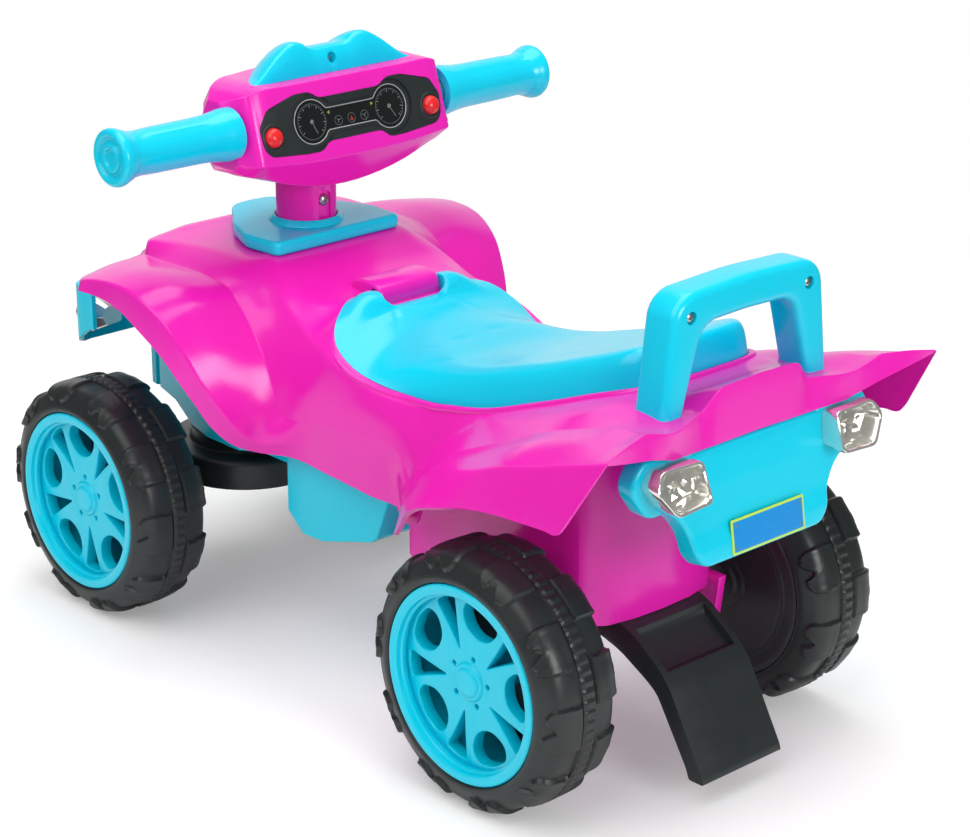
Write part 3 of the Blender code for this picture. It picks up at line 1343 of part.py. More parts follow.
def handle_half(name, front):
    """One moulding of the handle, front or rear of the joint in its middle."""
    half = HANDLE_DEPTH / 2
    split = HANDLE_REAR_Y - half
    thickness = half - SEAT_GAP / 2
    shape = upright(plate([handle_outline()], thickness))
    shift = SEAT_GAP / 2 + thickness / 2
    shape = shifted(shape, y=split - shift if front else split + shift)
    shape = bevelled(shape, 2.5 * MM, 1, 50)
    if not front:
        for side in (-1, 1):
            shape = cut(shape, handle_screw_shape(side, SEAT_GAP))
    return part(name, shape, CYAN)


def handle_screw_shape(side, margin):
    x = side * 50 * MM
    height = HANDLE_TOP - 14 * MM
    start = HANDLE_REAR_Y - 3 * MM - margin
    end = HANDLE_REAR_Y - 0.5 * MM + 3 * margin
    return rod(HANDLE_SCREW_RADIUS + margin, (x, start, height), (x, end, height), 12)


def handle_screw(name, side):
    return part(name, handle_screw_shape(side, 0.0), STEEL)


def handle_leg_hole(side):
    """The socket in the shell for one leg."""
    margin = SEAT_GAP
    outer = leg_outer()[2:]
    inner = leg_inner()[:3]
    outline = inset(outer + inner, -margin)
    low = HANDLE_REAR_Y - HANDLE_DEPTH - margin
    high = HANDLE_REAR_Y + margin
    shape = upright(plate([[(side * x, z) for x, z in outline]], high - low))
    return shifted(shape, y=(low + high) / 2)


def build():
    clear_scene()
    solid = shell_solid()
    heights = ShellHeights(solid)
    body_shell(solid)
    hinge_pin()
    seat_lid(heights)
    storage_tub(heights)
    chassis_pan()
    front_housing(heights)
    front_bumper()
    headlight("headlight_left", 1)
    headlight("headlight_right", -1)
    base_plate()
    handle_half("push_handle_front", True)
    handle_half("push_handle_rear", False)
    handle_screw("handle_screw_left", 1)
    handle_screw("handle_screw_right", -1)
    rear_bumper()
    tail_light("tail_light_left", 1)
    tail_light("tail_light_right", -1)
    anti_tip_foot()
    axle("rear_axle", REAR_AXLE_Y, (0.0, REAR_AXLE_Y, AXLE_HEIGHT))
    axle("front_axle", FRONT_AXLE_Y, (0.0, kingpin_y(), 0.0))
    turntable()
    kingpin()
    drag_link()
    steering_rod()
    column_tube()
    column_screw()
    dash_housing()
    dash_panel()
    gauge_lens()
    battery_cover()
    cowl()
    cowl_screw()
    handlebar_tube()
    grip("grip_left", 1)
    grip("grip_right", -1)
    button("button_left", 1)
    button("button_right", -1)
    wheel("front_left", 1, FRONT_AXLE_Y)
    wheel("front_right", -1, FRONT_AXLE_Y)
    wheel("rear_left", 1, REAR_AXLE_Y)
    wheel("rear_right", -1, REAR_AXLE_Y)


build()
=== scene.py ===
import math

import bmesh
import bpy
import numpy as np
from mathutils import Matrix, Vector
from mathutils.bvhtree import BVHTree


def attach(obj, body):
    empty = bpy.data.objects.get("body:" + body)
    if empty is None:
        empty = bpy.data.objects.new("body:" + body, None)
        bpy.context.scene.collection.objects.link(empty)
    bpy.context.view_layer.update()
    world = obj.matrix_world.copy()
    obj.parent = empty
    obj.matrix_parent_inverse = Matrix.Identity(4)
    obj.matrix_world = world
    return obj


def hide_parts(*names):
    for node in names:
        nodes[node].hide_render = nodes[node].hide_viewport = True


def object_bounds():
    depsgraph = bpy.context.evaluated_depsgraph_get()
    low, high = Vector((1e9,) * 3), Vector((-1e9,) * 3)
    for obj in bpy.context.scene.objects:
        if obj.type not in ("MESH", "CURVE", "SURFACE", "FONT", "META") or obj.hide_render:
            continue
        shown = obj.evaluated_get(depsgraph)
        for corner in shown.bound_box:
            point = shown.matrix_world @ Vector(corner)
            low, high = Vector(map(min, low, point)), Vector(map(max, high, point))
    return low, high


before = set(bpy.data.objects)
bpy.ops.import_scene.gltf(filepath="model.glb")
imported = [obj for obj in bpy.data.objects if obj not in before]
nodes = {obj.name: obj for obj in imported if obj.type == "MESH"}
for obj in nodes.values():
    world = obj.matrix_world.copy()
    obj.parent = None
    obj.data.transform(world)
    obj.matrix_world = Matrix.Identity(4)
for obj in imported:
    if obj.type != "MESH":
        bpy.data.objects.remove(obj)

cad_low, cad_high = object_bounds()
scene = bpy.context.scene
MM = 0.001
SIDES = (("left", 1), ("right", -1))


# Materials

PINK = (0.838, 0.013, 0.445)
CYAN = (0.0, 0.61, 0.807)
BLACK = (0.019, 0.025, 0.025)
RUBBER = (0.016, 0.02, 0.02)


def node_maker(owner):
    """The node tree of a material or world, and a function that adds a node and fills its sockets."""
    owner.use_nodes = True
    tree = owner.node_tree

    def fill(socket, value):
        if isinstance(value, bpy.types.NodeSocket):
            tree.links.new(value, socket)
        else:
            socket.default_value = value

    def make(kind, *values, **inputs):
        node = tree.nodes.new(kind)
        for number, value in enumerate(values):
            fill(node.inputs[number], value)
        for name, value in inputs.items():
            fill(node.inputs[name.replace("_", " ")], value)
        return node

    return tree, make


def moulded(name, colour, roughness, grain=0.35, spread=0.03, metallic=0.0, scuff=0.12, coat=0.0):
    """A moulded or plated surface: slightly uneven tone and gloss, fine grain and scuffs on its edges."""
    material = bpy.data.materials.new(name)
    tree, make = node_maker(material)
    link = tree.links.new
    shader = tree.nodes["Principled BSDF"]
    shader.inputs["Metallic"].default_value = metallic
    shader.inputs["Coat Weight"].default_value = coat
    shader.inputs["Coat Roughness"].default_value = 0.08
    place = make("ShaderNodeTexCoord").outputs["Object"]

    def noise(**settings):
        return make("ShaderNodeTexNoise", Vector=place, **settings).outputs["Fac"]

    def band(value, **limits):
        return make("ShaderNodeMapRange", Value=value, **limits).outputs["Result"]

    tone = make("ShaderNodeValToRGB", noise(Scale=7.0, Detail=2.0, Roughness=0.45))
    dark = [channel * (1 - spread) for channel in colour]
    light = [min(1.0, channel * (1 + spread) + 0.1 * spread * max(colour)) for channel in colour]
    for stop, position, shade in zip(tone.color_ramp.elements, (0.3, 0.75), (dark, light)):
        stop.position = position
        stop.color = (*shade, 1.0)
    pointed = make("ShaderNodeNewGeometry").outputs["Pointiness"]
    worn = make("ShaderNodeMath", band(pointed, From_Min=0.57, From_Max=0.68, To_Max=scuff),
                band(noise(Scale=160.0, Detail=3.0), From_Min=0.45, From_Max=0.62))
    worn.operation = "MULTIPLY"
    mix = make("ShaderNodeMix")
    mix.data_type = "RGBA"
    pale = [0.6 * channel + 0.4 * max(colour) for channel in colour]
    mix.inputs["B"].default_value = (*pale, 1.0)
    link(worn.outputs[0], mix.inputs["Factor"])
    link(tone.outputs["Color"], mix.inputs["A"])
    link(mix.outputs["Result"], shader.inputs["Base Color"])
    streaks = noise(Scale=55.0, Detail=5.0, Roughness=0.7)
    shine = band(streaks, From_Min=0.3, From_Max=0.7, To_Min=roughness * 0.82, To_Max=roughness * 1.2)
    link(shine, shader.inputs["Roughness"])
    fine = noise(Scale=900.0, Detail=2.0)
    bump = make("ShaderNodeBump", Strength=grain * 0.25, Distance=0.0004, Height=fine)
    link(bump.outputs["Normal"], shader.inputs["Normal"])
    return material


pink = moulded("pink_plastic", PINK, 0.2, grain=0.1)
cyan = moulded("cyan_plastic", CYAN, 0.22, grain=0.1)
black = moulded("black_plastic", BLACK, 0.36, spread=0.15, scuff=0.12)
rubber = moulded("tyre_plastic", RUBBER, 0.36, grain=0.8, spread=0.2, scuff=0.1)
display = moulded("display_plastic", (0.006, 0.008, 0.008), 0.12, grain=0.1, spread=0.1, scuff=0.0, coat=0.6)
red = moulded("red_plastic", (0.753, 0.017, 0.021), 0.22, scuff=0.1)
chrome = moulded("chrome_plastic", (0.84, 0.83, 0.78), 0.1, grain=0.1, spread=0.03, metallic=0.8, scuff=0.0)
steel = moulded("steel", (0.6, 0.6, 0.58), 0.3, metallic=1.0, scuff=0.0)
plate_blue = moulded("plate_blue", (0.0, 0.262, 0.68), 0.3, scuff=0.0)
plate_edge = moulded("plate_edge", (0.515, 0.752, 0.102), 0.3, scuff=0.0)
silver_print = moulded("silver_print", (0.42, 0.43, 0.42), 0.35, scuff=0.0)
grey_print = moulded("grey_print", (0.17, 0.18, 0.18), 0.5, scuff=0.0)
red_print = moulded("red_print", (0.35, 0.02, 0.02), 0.5, scuff=0.0)
green_print = moulded("green_print", (0.25, 0.4, 0.06), 0.5, scuff=0.0)


def plain_name(material):
    """A material's name without the number that tells it from its namesake."""
    return material.name.split(".")[0]


SLOTS = {plain_name(made): made for made in (pink, cyan, black, rubber, display, red, chrome, steel)}


def dress_cad_nodes():
    for node in nodes.values():
        for slot in node.material_slots:
            slot.material = SLOTS[plain_name(slot.material)]


# Shaping tools

def add_object(name, data):
    shape = bpy.data.objects.new(name, data)
    scene.collection.objects.link(shape)
    return shape


def mesh_object(name, vertices, faces):
    mesh = bpy.data.meshes.new(name)
    mesh.from_pydata([tuple(vertex) for vertex in vertices], [], faces)
    return add_object(name, mesh)


def baked(shape):
    """The shape with its modifiers applied, welded and facing out."""
    bpy.context.view_layer.update()
    graph = bpy.context.evaluated_depsgraph_get()
    mesh = bpy.data.meshes.new_from_object(shape.evaluated_get(graph))
    work = bmesh.new()
    work.from_mesh(mesh)
    bmesh.ops.remove_doubles(work, verts=work.verts, dist=2e-6)
    bmesh.ops.recalc_face_normals(work, faces=work.faces)
    work.to_mesh(mesh)
    work.free()
    result = add_object(shape.name, mesh)
    bpy.data.objects.remove(shape, do_unlink=True)
    return result


def modified(shape, kind, **settings):
    modifier = shape.modifiers.new(kind.lower(), kind)
    for name, value in settings.items():
        setattr(modifier, name, value)
    return baked(shape)


def bevelled(shape, width, segments=3, angle=30.0):
    return modified(shape, "BEVEL", width=width, segments=segments, limit_method="ANGLE",
                    angle_limit=math.radians(angle))


def cut(shape, cutter):
    result = modified(shape, "BOOLEAN", operation="DIFFERENCE", solver="EXACT", object=cutter)
    bpy.data.objects.remove(cutter, do_unlink=True)
    return result


def joined(shapes):
    """Several shapes as one mesh, without merging them."""
    work = bmesh.new()
    for shape in shapes:
        work.from_mesh(shape.data)
        bpy.data.objects.remove(shape, do_unlink=True)
    mesh = bpy.data.meshes.new("joined")
    work.to_mesh(mesh)
    work.free()
    return add_object("joined", mesh)


def moved(shape, matrix):
    shape.data.transform(matrix)
    if matrix.determinant() < 0:
        shape.data.flip_normals()
    return shape


def shifted(shape, x=0.0, y=0.0, z=0.0):
    return moved(shape, Matrix.Translation((x, y, z)))


def turned_to(shape, axis, angle):
    return moved(shape, Matrix.Rotation(angle, 4, axis))


def placed(shape, place, angle, axis="X"):
    """The shape turned about an axis, then moved to its place."""
    return moved(shape, Matrix.Translation(place) @ Matrix.Rotation(angle, 4, axis))


def upright(shape):
    return turned_to(shape, "X", math.pi / 2)


def sideways(shape):
    """A flat plate stood on its side: its X becomes Y, its Y becomes Z, and it faces along X."""
    return moved(shape, Matrix(((0, 0, 1, 0), (1, 0, 0, 0), (0, 1, 0, 0), (0, 0, 0, 1))))


def mirror_of(shape, name):
    """The same shape on the other side of the car."""
    return moved(add_object(name, shape.data.copy()), Matrix.Scale(-1, 4, (1, 0, 0)))


def in_mm(points):
    return [tuple(value * MM for value in point) for point in points]


def box(x, y):
    """The corners of a rectangle round the origin, from its half sizes."""
    return [(-x, -y), (x, -y), (x, y), (-x, y)]


def mirrored(half):
    """A closed outline from its half at +X."""
    return list(half) + [(-x, y) for x, y in reversed(half) if x > 1e-9]


def rounded(points, radius, steps=5, closed=True):
    """A line with its corners rounded. radius is one number, or one for each corner."""
    count = len(points)
    result = []
    for i, point in enumerate(points):
        here = Vector(point)
        if not closed and i in (0, count - 1):
            result.append(tuple(here))
            continue
        before, after = Vector(points[i - 1]), Vector(points[(i + 1) % count])
        wanted = radius[i] if isinstance(radius, (list, tuple)) else radius
        reach = min(wanted, (before - here).length * 0.48, (after - here).length * 0.48)
        if reach < 1e-6:
            result.append(tuple(here))
            continue
        start = here + (before - here).normalized() * reach
        end = here + (after - here).normalized() * reach
        for k in range(steps + 1):
            t = k / steps
            result.append(tuple(start * (1 - t) ** 2 + here * 2 * t * (1 - t) + end * t * t))
    return result


def plate(outlines, depth, edge=0.0, rings=3):
    """A flat plate centred on z = 0: the first outline less the others, with rounded edges."""
    curve = bpy.data.curves.new("outline", "CURVE")
    curve.dimensions = "2D"
    curve.fill_mode = "BOTH"
    curve.extrude = depth / 2 - edge
    curve.bevel_depth = edge
    curve.bevel_resolution = rings
    curve.offset = -edge
    for outline in outlines:
        spline = curve.splines.new("POLY")
        spline.points.add(len(outline) - 1)
        for point, (x, y) in zip(spline.points, outline):
            point.co = (x, y, 0.0, 1.0)
        spline.use_cyclic_u = True
    return baked(add_object("plate", curve))


def circle(radius, sides=48, x=0.0, y=0.0):
    turns = [2 * math.pi * i / sides for i in range(sides)]
    return [(x + radius * math.cos(a), y + radius * math.sin(a)) for a in turns]


def turned(profile, steps=64, ring=False):
    """A profile of (radius, height) points turned round Z. A ring profile closes on itself."""
    vertices = []
    faces = []
    starts = []
    for radius, height in profile:
        starts.append(len(vertices))
        count = 1 if radius < 1e-7 else steps
        for i in range(count):
            angle = 2 * math.pi * i / steps
            vertices.append((radius * math.cos(angle), radius * math.sin(angle), height))
    pairs = list(zip(range(len(profile) - 1), range(1, len(profile))))
    if ring:
        pairs.append((len(profile) - 1, 0))
    for a, b in pairs:
        one, other = profile[a][0] < 1e-7, profile[b][0] < 1e-7
        for i in range(steps):
            j = (i + 1) % steps
            p, q = starts[a], starts[b]
            if one and not other:
                faces.append((p, q + i, q + j))
            elif other and not one:
                faces.append((p + i, q, p + j))
            elif not one:
                faces.append((p + i, q + i, q + j, p + j))
    return baked(mesh_object("turned", vertices, faces))


def rod(radius, start, end, sides=48, edge=0.0):
    """A round bar between two points, with a rounded end where edge is given."""
    start, run = Vector(start), Vector(end) - Vector(start)
    length = run.length
    profile = [(0.0, 0.0), (radius, 0.0), (radius, length), (0.0, length)]
    if edge:
        profile = rounded(profile, edge, 4, closed=False)
    turn = Vector((0, 0, 1)).rotation_difference(run).to_matrix().to_4x4()
    return moved(turned(profile, sides), Matrix.Translation(start) @ turn)


def bands(rings, count, closed=True, start=0):
    """Quads between rings of count points each, the first of them at point start."""
    faces = []
    for r in range(rings - 1):
        a, b = start + r * count, start + (r + 1) * count
        for i in range(count if closed else count - 1):
            j = (i + 1) % count
            faces.append((a + i, a + j, b + j, b + i))
    return faces


def loft(rings):
    """A skin over rings of points, closed at both ends."""
    count = len(rings[0])
    vertices = [point for ring in rings for point in ring]
    ends = [tuple(range(count)), tuple(range((len(rings) - 1) * count, len(rings) * count))]
    return baked(mesh_object("loft", vertices, bands(len(rings), count) + ends))


def eased(a, b, leaving, arriving, t):
    """A place between a and b on the smooth curve that has the given slopes at its ends."""
    return (a * (2 * t ** 3 - 3 * t ** 2 + 1) + leaving * (t ** 3 - 2 * t ** 2 + t)
            + b * (3 * t ** 2 - 2 * t ** 3) + arriving * (t ** 3 - t ** 2))


def smooth_line(points, steps):
    """A smooth line through 3D points, with the given number of steps between each two."""
    points = [Vector(point) for point in points]
    result = []
    for i in range(len(points) - 1):
        a, b = points[i], points[i + 1]
        before = points[i - 1] if i else a * 2 - b
        after = points[i + 2] if i + 2 < len(points) else b * 2 - a
        span = (b - a).length or 1e-9
        left, right = (a - before).length or span, (after - b).length or span
        leaving = ((b - a) / span * left + (a - before) / left * span) / (left + span)
        arriving = ((b - a) / span * right + (after - b) / right * span) / (right + span)
        for k in range(steps):
            result.append(eased(a, b, leaving * span, arriving * span, k / steps))
    result.append(points[-1])
    return result


def smooth_value(points, place):
    """A smooth value at a place, from (place, value) pairs."""
    places = [point[0] for point in points]
    values = [point[1] for point in points]
    if place <= places[0]:
        return values[0]
    if place >= places[-1]:
        return values[-1]
    i = max(k for k, known in enumerate(places) if known <= place)
    slopes = []
    for k in (i, i + 1):
        low, high = max(k - 1, 0), min(k + 1, len(points) - 1)
        slopes.append((values[high] - values[low]) / (places[high] - places[low]))
    span = places[i + 1] - places[i]
    return eased(values[i], values[i + 1], slopes[0] * span, slopes[1] * span, (place - places[i]) / span)


def step_up(value):
    """0 below 0, 1 above 1 and smooth between."""
    t = np.clip(value, 0.0, 1.0)
    return t * t * (3 - 2 * t)


def piece(shape, name, body, material, replaced=(), angle=35.0):
    """Name a finished piece, give it its material and let it ride on its body."""
    shape.name = name
    shape.data.name = name
    shape.data.materials.clear()
    shape.data.materials.append(material)
    shape.data.shade_smooth()
    shape.data.set_sharp_from_angle(angle=math.radians(angle))
    if replaced:
        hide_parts(*replaced)
    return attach(shape, body)


# Wheels

FRONT_AXLE_Y = -214 * MM
REAR_AXLE_Y = 177 * MM
TYRE_X = 86 * MM
TYRE_WIDTH = 57 * MM
TYRE_RADIUS = 83 * MM
RIM_FACE = 48 * MM
LUGS = 10
# Each wheel's side, its axle's place along the car, and how far its rim is turned, in degrees.
CORNERS = {
    "front_left": (1, FRONT_AXLE_Y, 22.0), "front_right": (-1, FRONT_AXLE_Y, 10.0),
    "rear_left": (1, REAR_AXLE_Y, 6.0), "rear_right": (-1, REAR_AXLE_Y, 40.0),
}


def lug_cover(turn, along):
    """How far a lug rises at a place: turn counts lugs, along runs from the middle band out, in mm."""
    u = (turn % 1.0) / 0.6
    ends = [(0, 23), (0.08, 27.5), (0.2, 30), (0.32, 30.5), (0.4, 26), (0.5, 24.5), (0.58, 28.5),
            (0.68, 32), (0.85, 31), (0.94, 28), (1, 23)]
    reach = np.interp(u, [place for place, _ in ends], [end for _, end in ends])
    pitch = 2 * math.pi * TYRE_RADIUS / MM / LUGS
    nick = 1.6 * np.exp(-((along - 10) / 2.5) ** 2) * np.exp(-((u - 0.02) / 0.08) ** 2)
    side = np.minimum(u, 1 - u) * 0.6 * pitch - nick
    inside = np.minimum(side, np.minimum(reach - along, along - 5.6))
    return step_up(inside / 1.7) * (1 - 0.12 * step_up((inside - 2.4) / 4.0))


def tyre_mesh():
    """A tread with its lugs, ribbed middle band and side walls, and the black disc that closes its back."""
    half = [(0, 80.4), (5, 80.35), (5.6, 80.3), (10, 80.25), (15, 80), (19, 79.2), (21.8, 77.8),
            (23.8, 75.8), (25.3, 73.2), (26.7, 70.4), (27.9, 67.8), (28.45, 65.6), (28.3, 64.0),
            (27.6, 63.1), (26.2, 62.7)]
    line = [Vector(point) for point in smooth_line([(x, r, 0.0) for x, r in half], 3)]
    along = [0.0]
    for a, b in zip(line, line[1:]):
        along.append(along[-1] + (b - a).length)
    line = [Vector((-p.x, p.y, 0.0)) for p in reversed(line[1:])] + line
    along = np.array([-value for value in reversed(along[1:])] + along)
    x = np.array([p.x for p in line])
    r = np.array([p.y for p in line])
    out_x, out_r = -np.gradient(r), np.gradient(x)
    length = np.hypot(out_x, out_r)
    out_x, out_r = out_x / length, out_r / length
    steps = 640
    turn = np.arange(steps)[:, None] / steps
    turns = np.broadcast_to(turn * LUGS, (steps, len(x)))
    across = np.broadcast_to(np.abs(along), turns.shape)
    outer = np.broadcast_to(along > 0, turns.shape)
    lugs = np.where(outer, lug_cover(turns, across), lug_cover(turns + 0.5, across))
    band = step_up((5.3 - across) / 0.5)
    ribs = 0.5 + 0.5 * np.clip(1.8 * np.sin(turn * 2 * math.pi * 80), -1, 1)
    band_height = 1.75 + 0.8 * ribs * step_up((4.3 - across) / 0.4)
    height = np.maximum(2.6 * lugs, band_height * band)
    wide = np.clip(x + out_x * height, -28.5, 28.5) + TYRE_WIDTH / MM / 2
    tall = np.minimum(r + out_r * height, TYRE_RADIUS / MM)
    angle = math.pi + (turn - 0.0715) * 2 * math.pi
    vertices = np.stack([wide, tall * np.sin(angle), tall * np.cos(angle)], axis=2).reshape(-1, 3) * MM
    count = len(x)
    faces = []
    for row in range(steps):
        a, b = row * count, (row + 1) % steps * count
        for i in range(count - 1):
            faces.append((a + i, a + i + 1, b + i + 1, b + i))
    tread = mesh_object("tyre", vertices.tolist(), faces)
    inner = [(5.2, -1.7), (11.4, -1.7), (13.4, 0.6), (17, 0.5), (19, 1.9), (47.5, 1.9), (48.5, 1.1),
             (51.5, 1.1), (52.5, 1.9), (59, 1.9), (62.7, 0.7), (62.7, 3.0), (5.2, 3.2)]
    inner = rounded(inner, [0, 0.6, 0.4, 0.6, 0.6, 0.4, 0.4, 0.4, 0.4, 0.8, 0, 0, 0], 3)
    disc = turned_to(turned(in_mm(inner), 96, ring=True), "Y", math.pi / 2)
    return joined([tread, disc])


def ray(radius, degrees):
    angle = math.radians(degrees)
    return (radius * MM * math.cos(angle), radius * MM * math.sin(angle))


def spoke_face():
    """The forked spokes with their wide and narrow windows and nut holes."""
    outlines = [circle(59 * MM, 96)]
    for spoke in range(5):
        middle = 72 * spoke + 90
        wide = [ray(30, middle), ray(33.5, middle + 15), ray(44, middle + 20.5), ray(51.5, middle + 15),
                ray(53, middle), ray(51.5, middle - 15), ray(44, middle - 20.5), ray(33.5, middle - 15)]
        outlines.append(rounded(wide, 5 * MM, 5))
        between = middle + 36
        narrow = [ray(19.5, between), ray(36, between + 6.5), ray(52.3, between + 9.5), ray(53, between),
                  ray(52.3, between - 9.5), ray(36, between - 6.5)]
        outlines.append(rounded(narrow, 2.2 * MM, 4))
        outlines.append(circle(1.7 * MM, 16, *ray(15.5, middle)))
    return plate(outlines, 9 * MM, 0.9 * MM, 3)


def rim_shape():
    lip = [(62.4, 20), (62.4, 56.0), (61.6, 56.9), (60.2, 57), (57.2, 56.8), (56.0, 56.0), (55.4, 53.6),
           (54.0, 52.6), (53.8, 50.5), (55.8, 49.6), (56.4, 46), (56.4, 4.6), (57.2, 3.4), (61.4, 3.4),
           (62.4, 4.4)]
    barrel = turned(in_mm(lip), 96, ring=True)
    face = shifted(spoke_face(), z=RIM_FACE - 4.5 * MM)
    pad = rounded([(0, 49.6), (11.2, 49.6), (12.6, 48), (12.6, 40), (0, 40)], 0.8, 3, False)
    pad = turned(in_mm(pad), 64)
    hub = rod(12 * MM, (0, 0, 3.4 * MM), (0, 0, RIM_FACE - 3 * MM), 48)
    return turned_to(joined([barrel, face, pad, hub]), "Y", math.pi / 2)


def hub_disc():
    profile = in_mm([(0, 51.2), (7.6, 51), (9.3, 50), (9.3, 49.0), (0, 49.0)])
    profile = rounded(profile, 0.7 * MM, 4, closed=False)
    return turned_to(turned(profile, 64), "Y", math.pi / 2)


def wheels():
    sources = {"tyre": tyre_mesh(), "rim": rim_shape(), "hub_cap": hub_disc()}
    for corner, (side, axle_y, spin) in CORNERS.items():
        place = Matrix.Translation((side * TYRE_X, axle_y, TYRE_RADIUS))
        if side < 0:
            place = place @ Matrix.Rotation(math.pi, 4, "Z")
        spun = place @ Matrix.Rotation(math.radians(spin), 4, "X")
        for kind, source in sources.items():
            shape = moved(add_object(kind, source.data.copy()), place if kind == "tyre" else spun)
            material = rubber if kind == "tyre" else cyan
            piece(shape, f"{kind}_{corner}_moulding", "wheel_" + corner, material, (f"{kind}_{corner}",))
    for source in sources.values():
        bpy.data.objects.remove(source, do_unlink=True)


# Handlebar, dash and column

COLUMN_Y = -132 * MM
BAR_Y = -100 * MM
BAR_HEIGHT = 355 * MM
DASH_TOP = 382 * MM
FACE_LEAN = math.radians(14.5)
HOOD_MM = 266
HOOD = HOOD_MM * MM
# Places on the dash's face, from its middle
BUTTON_X = 67 * MM
BUTTON_Y = -6 * MM
DIAL_X = 33 * MM
DIAL_Y = -1 * MM
DIAL_RADIUS = 11.6 * MM
ICON_Y = -3.4 * MM
PRINT_HEIGHT = -1.45 * MM


def dash_frame():
    """The plane of the dash's face: X across, Y up the face, Z out towards the rider."""
    turn = Matrix.Rotation(math.pi, 4, "Z") @ Matrix.Rotation(math.pi / 2 - FACE_LEAN, 4, "X")
    return Matrix.Translation((0, -82.5 * MM, 358 * MM)) @ turn


def face_point(height):
    """A point of the leaning face in side view, in mm from the handlebar's axis."""
    rise = height - 3
    return (17.5 - rise * math.tan(FACE_LEAN), height)


def dash_rings():
    """Side views from end to end of the dash, smooth along it."""
    half = [
        (0, [face_point(27), face_point(-23), (10, -46), (-50, -50), (-68, -27), (-60, 18), (-46, 27)]),
        (50, [face_point(27), face_point(-22), (12, -38), (-42, -43), (-58, -25), (-52, 17), (-40, 27)]),
        (73, [face_point(27), face_point(-20), (12, -30), (-32, -33), (-46, -21), (-42, 15), (-32, 27)]),
        (79.5, [(9, 25), face_point(-19.4), (11, -28.5), (-28, -31), (-40, -19), (-37, 13), (-29, 25)]),
        (86, [(-1, 21.5), (14, -19.5), (9, -25), (-19, -26), (-30, -15), (-29, 10), (-23, 21.5)]),
        (90, [(-8, 19), (12, -18), (7, -23), (-15, -23), (-25, -13), (-25, 8), (-19, 19)]),
    ]
    both = [(-x, points) for x, points in reversed(half[1:])] + half
    lines = []
    for i in range(7):
        lines.append(smooth_line([(x, points[i][0], points[i][1]) for x, points in both], 5))
    rings = []
    for places in zip(*lines):
        rings.append([Vector((p.x * MM, BAR_Y + p.y * MM, BAR_HEIGHT + p.z * MM)) for p in places])
    return rings


def panel_outline():
    half = in_mm([(0, -15.2), (22, -15.2), (29, -20.6), (41, -20.6), (70, -18), (75, -13), (76.5, 1),
                  (69, 12), (45, 18.3), (33, 18.3), (25, 13.4), (0, 13.4)])
    return rounded(mirrored(half), 3 * MM, 4)


def lobes(radius, bar_low, bar_high, steps=22, x=33.0):
    """A disc at each end with a straight bar between, as the gauge window has."""
    low = math.degrees(math.asin((bar_low + 1) / radius))
    high = math.degrees(math.asin((bar_high + 1) / radius))
    start, end = -180 - low, 180 - high
    half = []
    for i in range(steps + 1):
        angle = math.radians(start + (end - start) * i / steps)
        half.append((x + radius * math.cos(angle), radius * math.sin(angle) - 1))
    half = [(0.0, bar_low)] + half + [(0.0, bar_high)]
    return rounded(mirrored(in_mm(half)), 2.2 * MM, 3)


def tube_along(points, radius, closed=False, sides=6):
    """A thin round line through points."""
    curve = bpy.data.curves.new("line", "CURVE")
    curve.dimensions = "3D"
    curve.bevel_depth = radius
    curve.bevel_resolution = max(0, sides // 2 - 2)
    curve.use_fill_caps = True
    spline = curve.splines.new("POLY")
    spline.points.add(len(points) - 1)
    for point, place in zip(spline.points, points):
        point.co = (*place, 1.0)
    spline.use_cyclic_u = closed
    return baked(add_object("line", curve))


def bar_mark(start, end, width, height):
    """A flat printed mark between two points of a plane, at a height over it."""
    a, b = Vector((*start, height)), Vector((*end, height))
    side = Vector((a.y - b.y, b.x - a.x, 0.0)).normalized() * width / 2
    return mesh_object("mark", [a - side, b - side, b + side, a + side], [(0, 1, 2, 3)])


def ring_mark(radius, sides, x, y, width):
    """A fine printed ring."""
    ring = [(px, py, PRINT_HEIGHT) for px, py in circle(radius, sides, x, y)]
    return tube_along(ring, width, closed=True, sides=4)


def flat_mark(outline):
    return shifted(plate([outline], 0.1 * MM), z=PRINT_HEIGHT)


def dial(x, needle):
    """Printed marks of one round gauge: a fine ring, ticks, a needle and a hub."""
    marks = [ring_mark(DIAL_RADIUS, 40, x, DIAL_Y, 0.12 * MM)]

    def place(radius, angle):
        return (x + radius * math.cos(angle), DIAL_Y + radius * math.sin(angle))

    for i in range(25):
        angle = math.radians(-130 + 260 * i / 24 + 90)
        inner, width = (0.80, 0.55) if i % 3 == 0 else (0.89, 0.28)
        ends = [place(DIAL_RADIUS * share, angle) for share in (inner, 0.97)]
        marks.append(bar_mark(ends[0], ends[1], width * MM, PRINT_HEIGHT))
    tip = place(0.74 * DIAL_RADIUS, math.radians(needle))
    marks.append(bar_mark((x, DIAL_Y), tip, 0.5 * MM, PRINT_HEIGHT + 0.05 * MM))
    marks.append(flat_mark(circle(1.5 * MM, 20, x, DIAL_Y)))
    return marks


def dash_shell(face):
    """The housing, with the pocket for its panel and the hole for its column."""
    shell = bevelled(loft(dash_rings()), 4.2 * MM, 4, 26)
    pocket = shifted(plate([[(x * 1.004, y * 1.015) for x, y in panel_outline()]], 20 * MM), z=7.6 * MM)
    shell = cut(shell, moved(pocket, face))
    shell = cut(shell, rod(20.8 * MM, (0, COLUMN_Y, 280 * MM), (0, COLUMN_Y, 330 * MM), 64))
    piece(shell, "dash_moulding", "steering", pink, ("dash_housing",), 38)


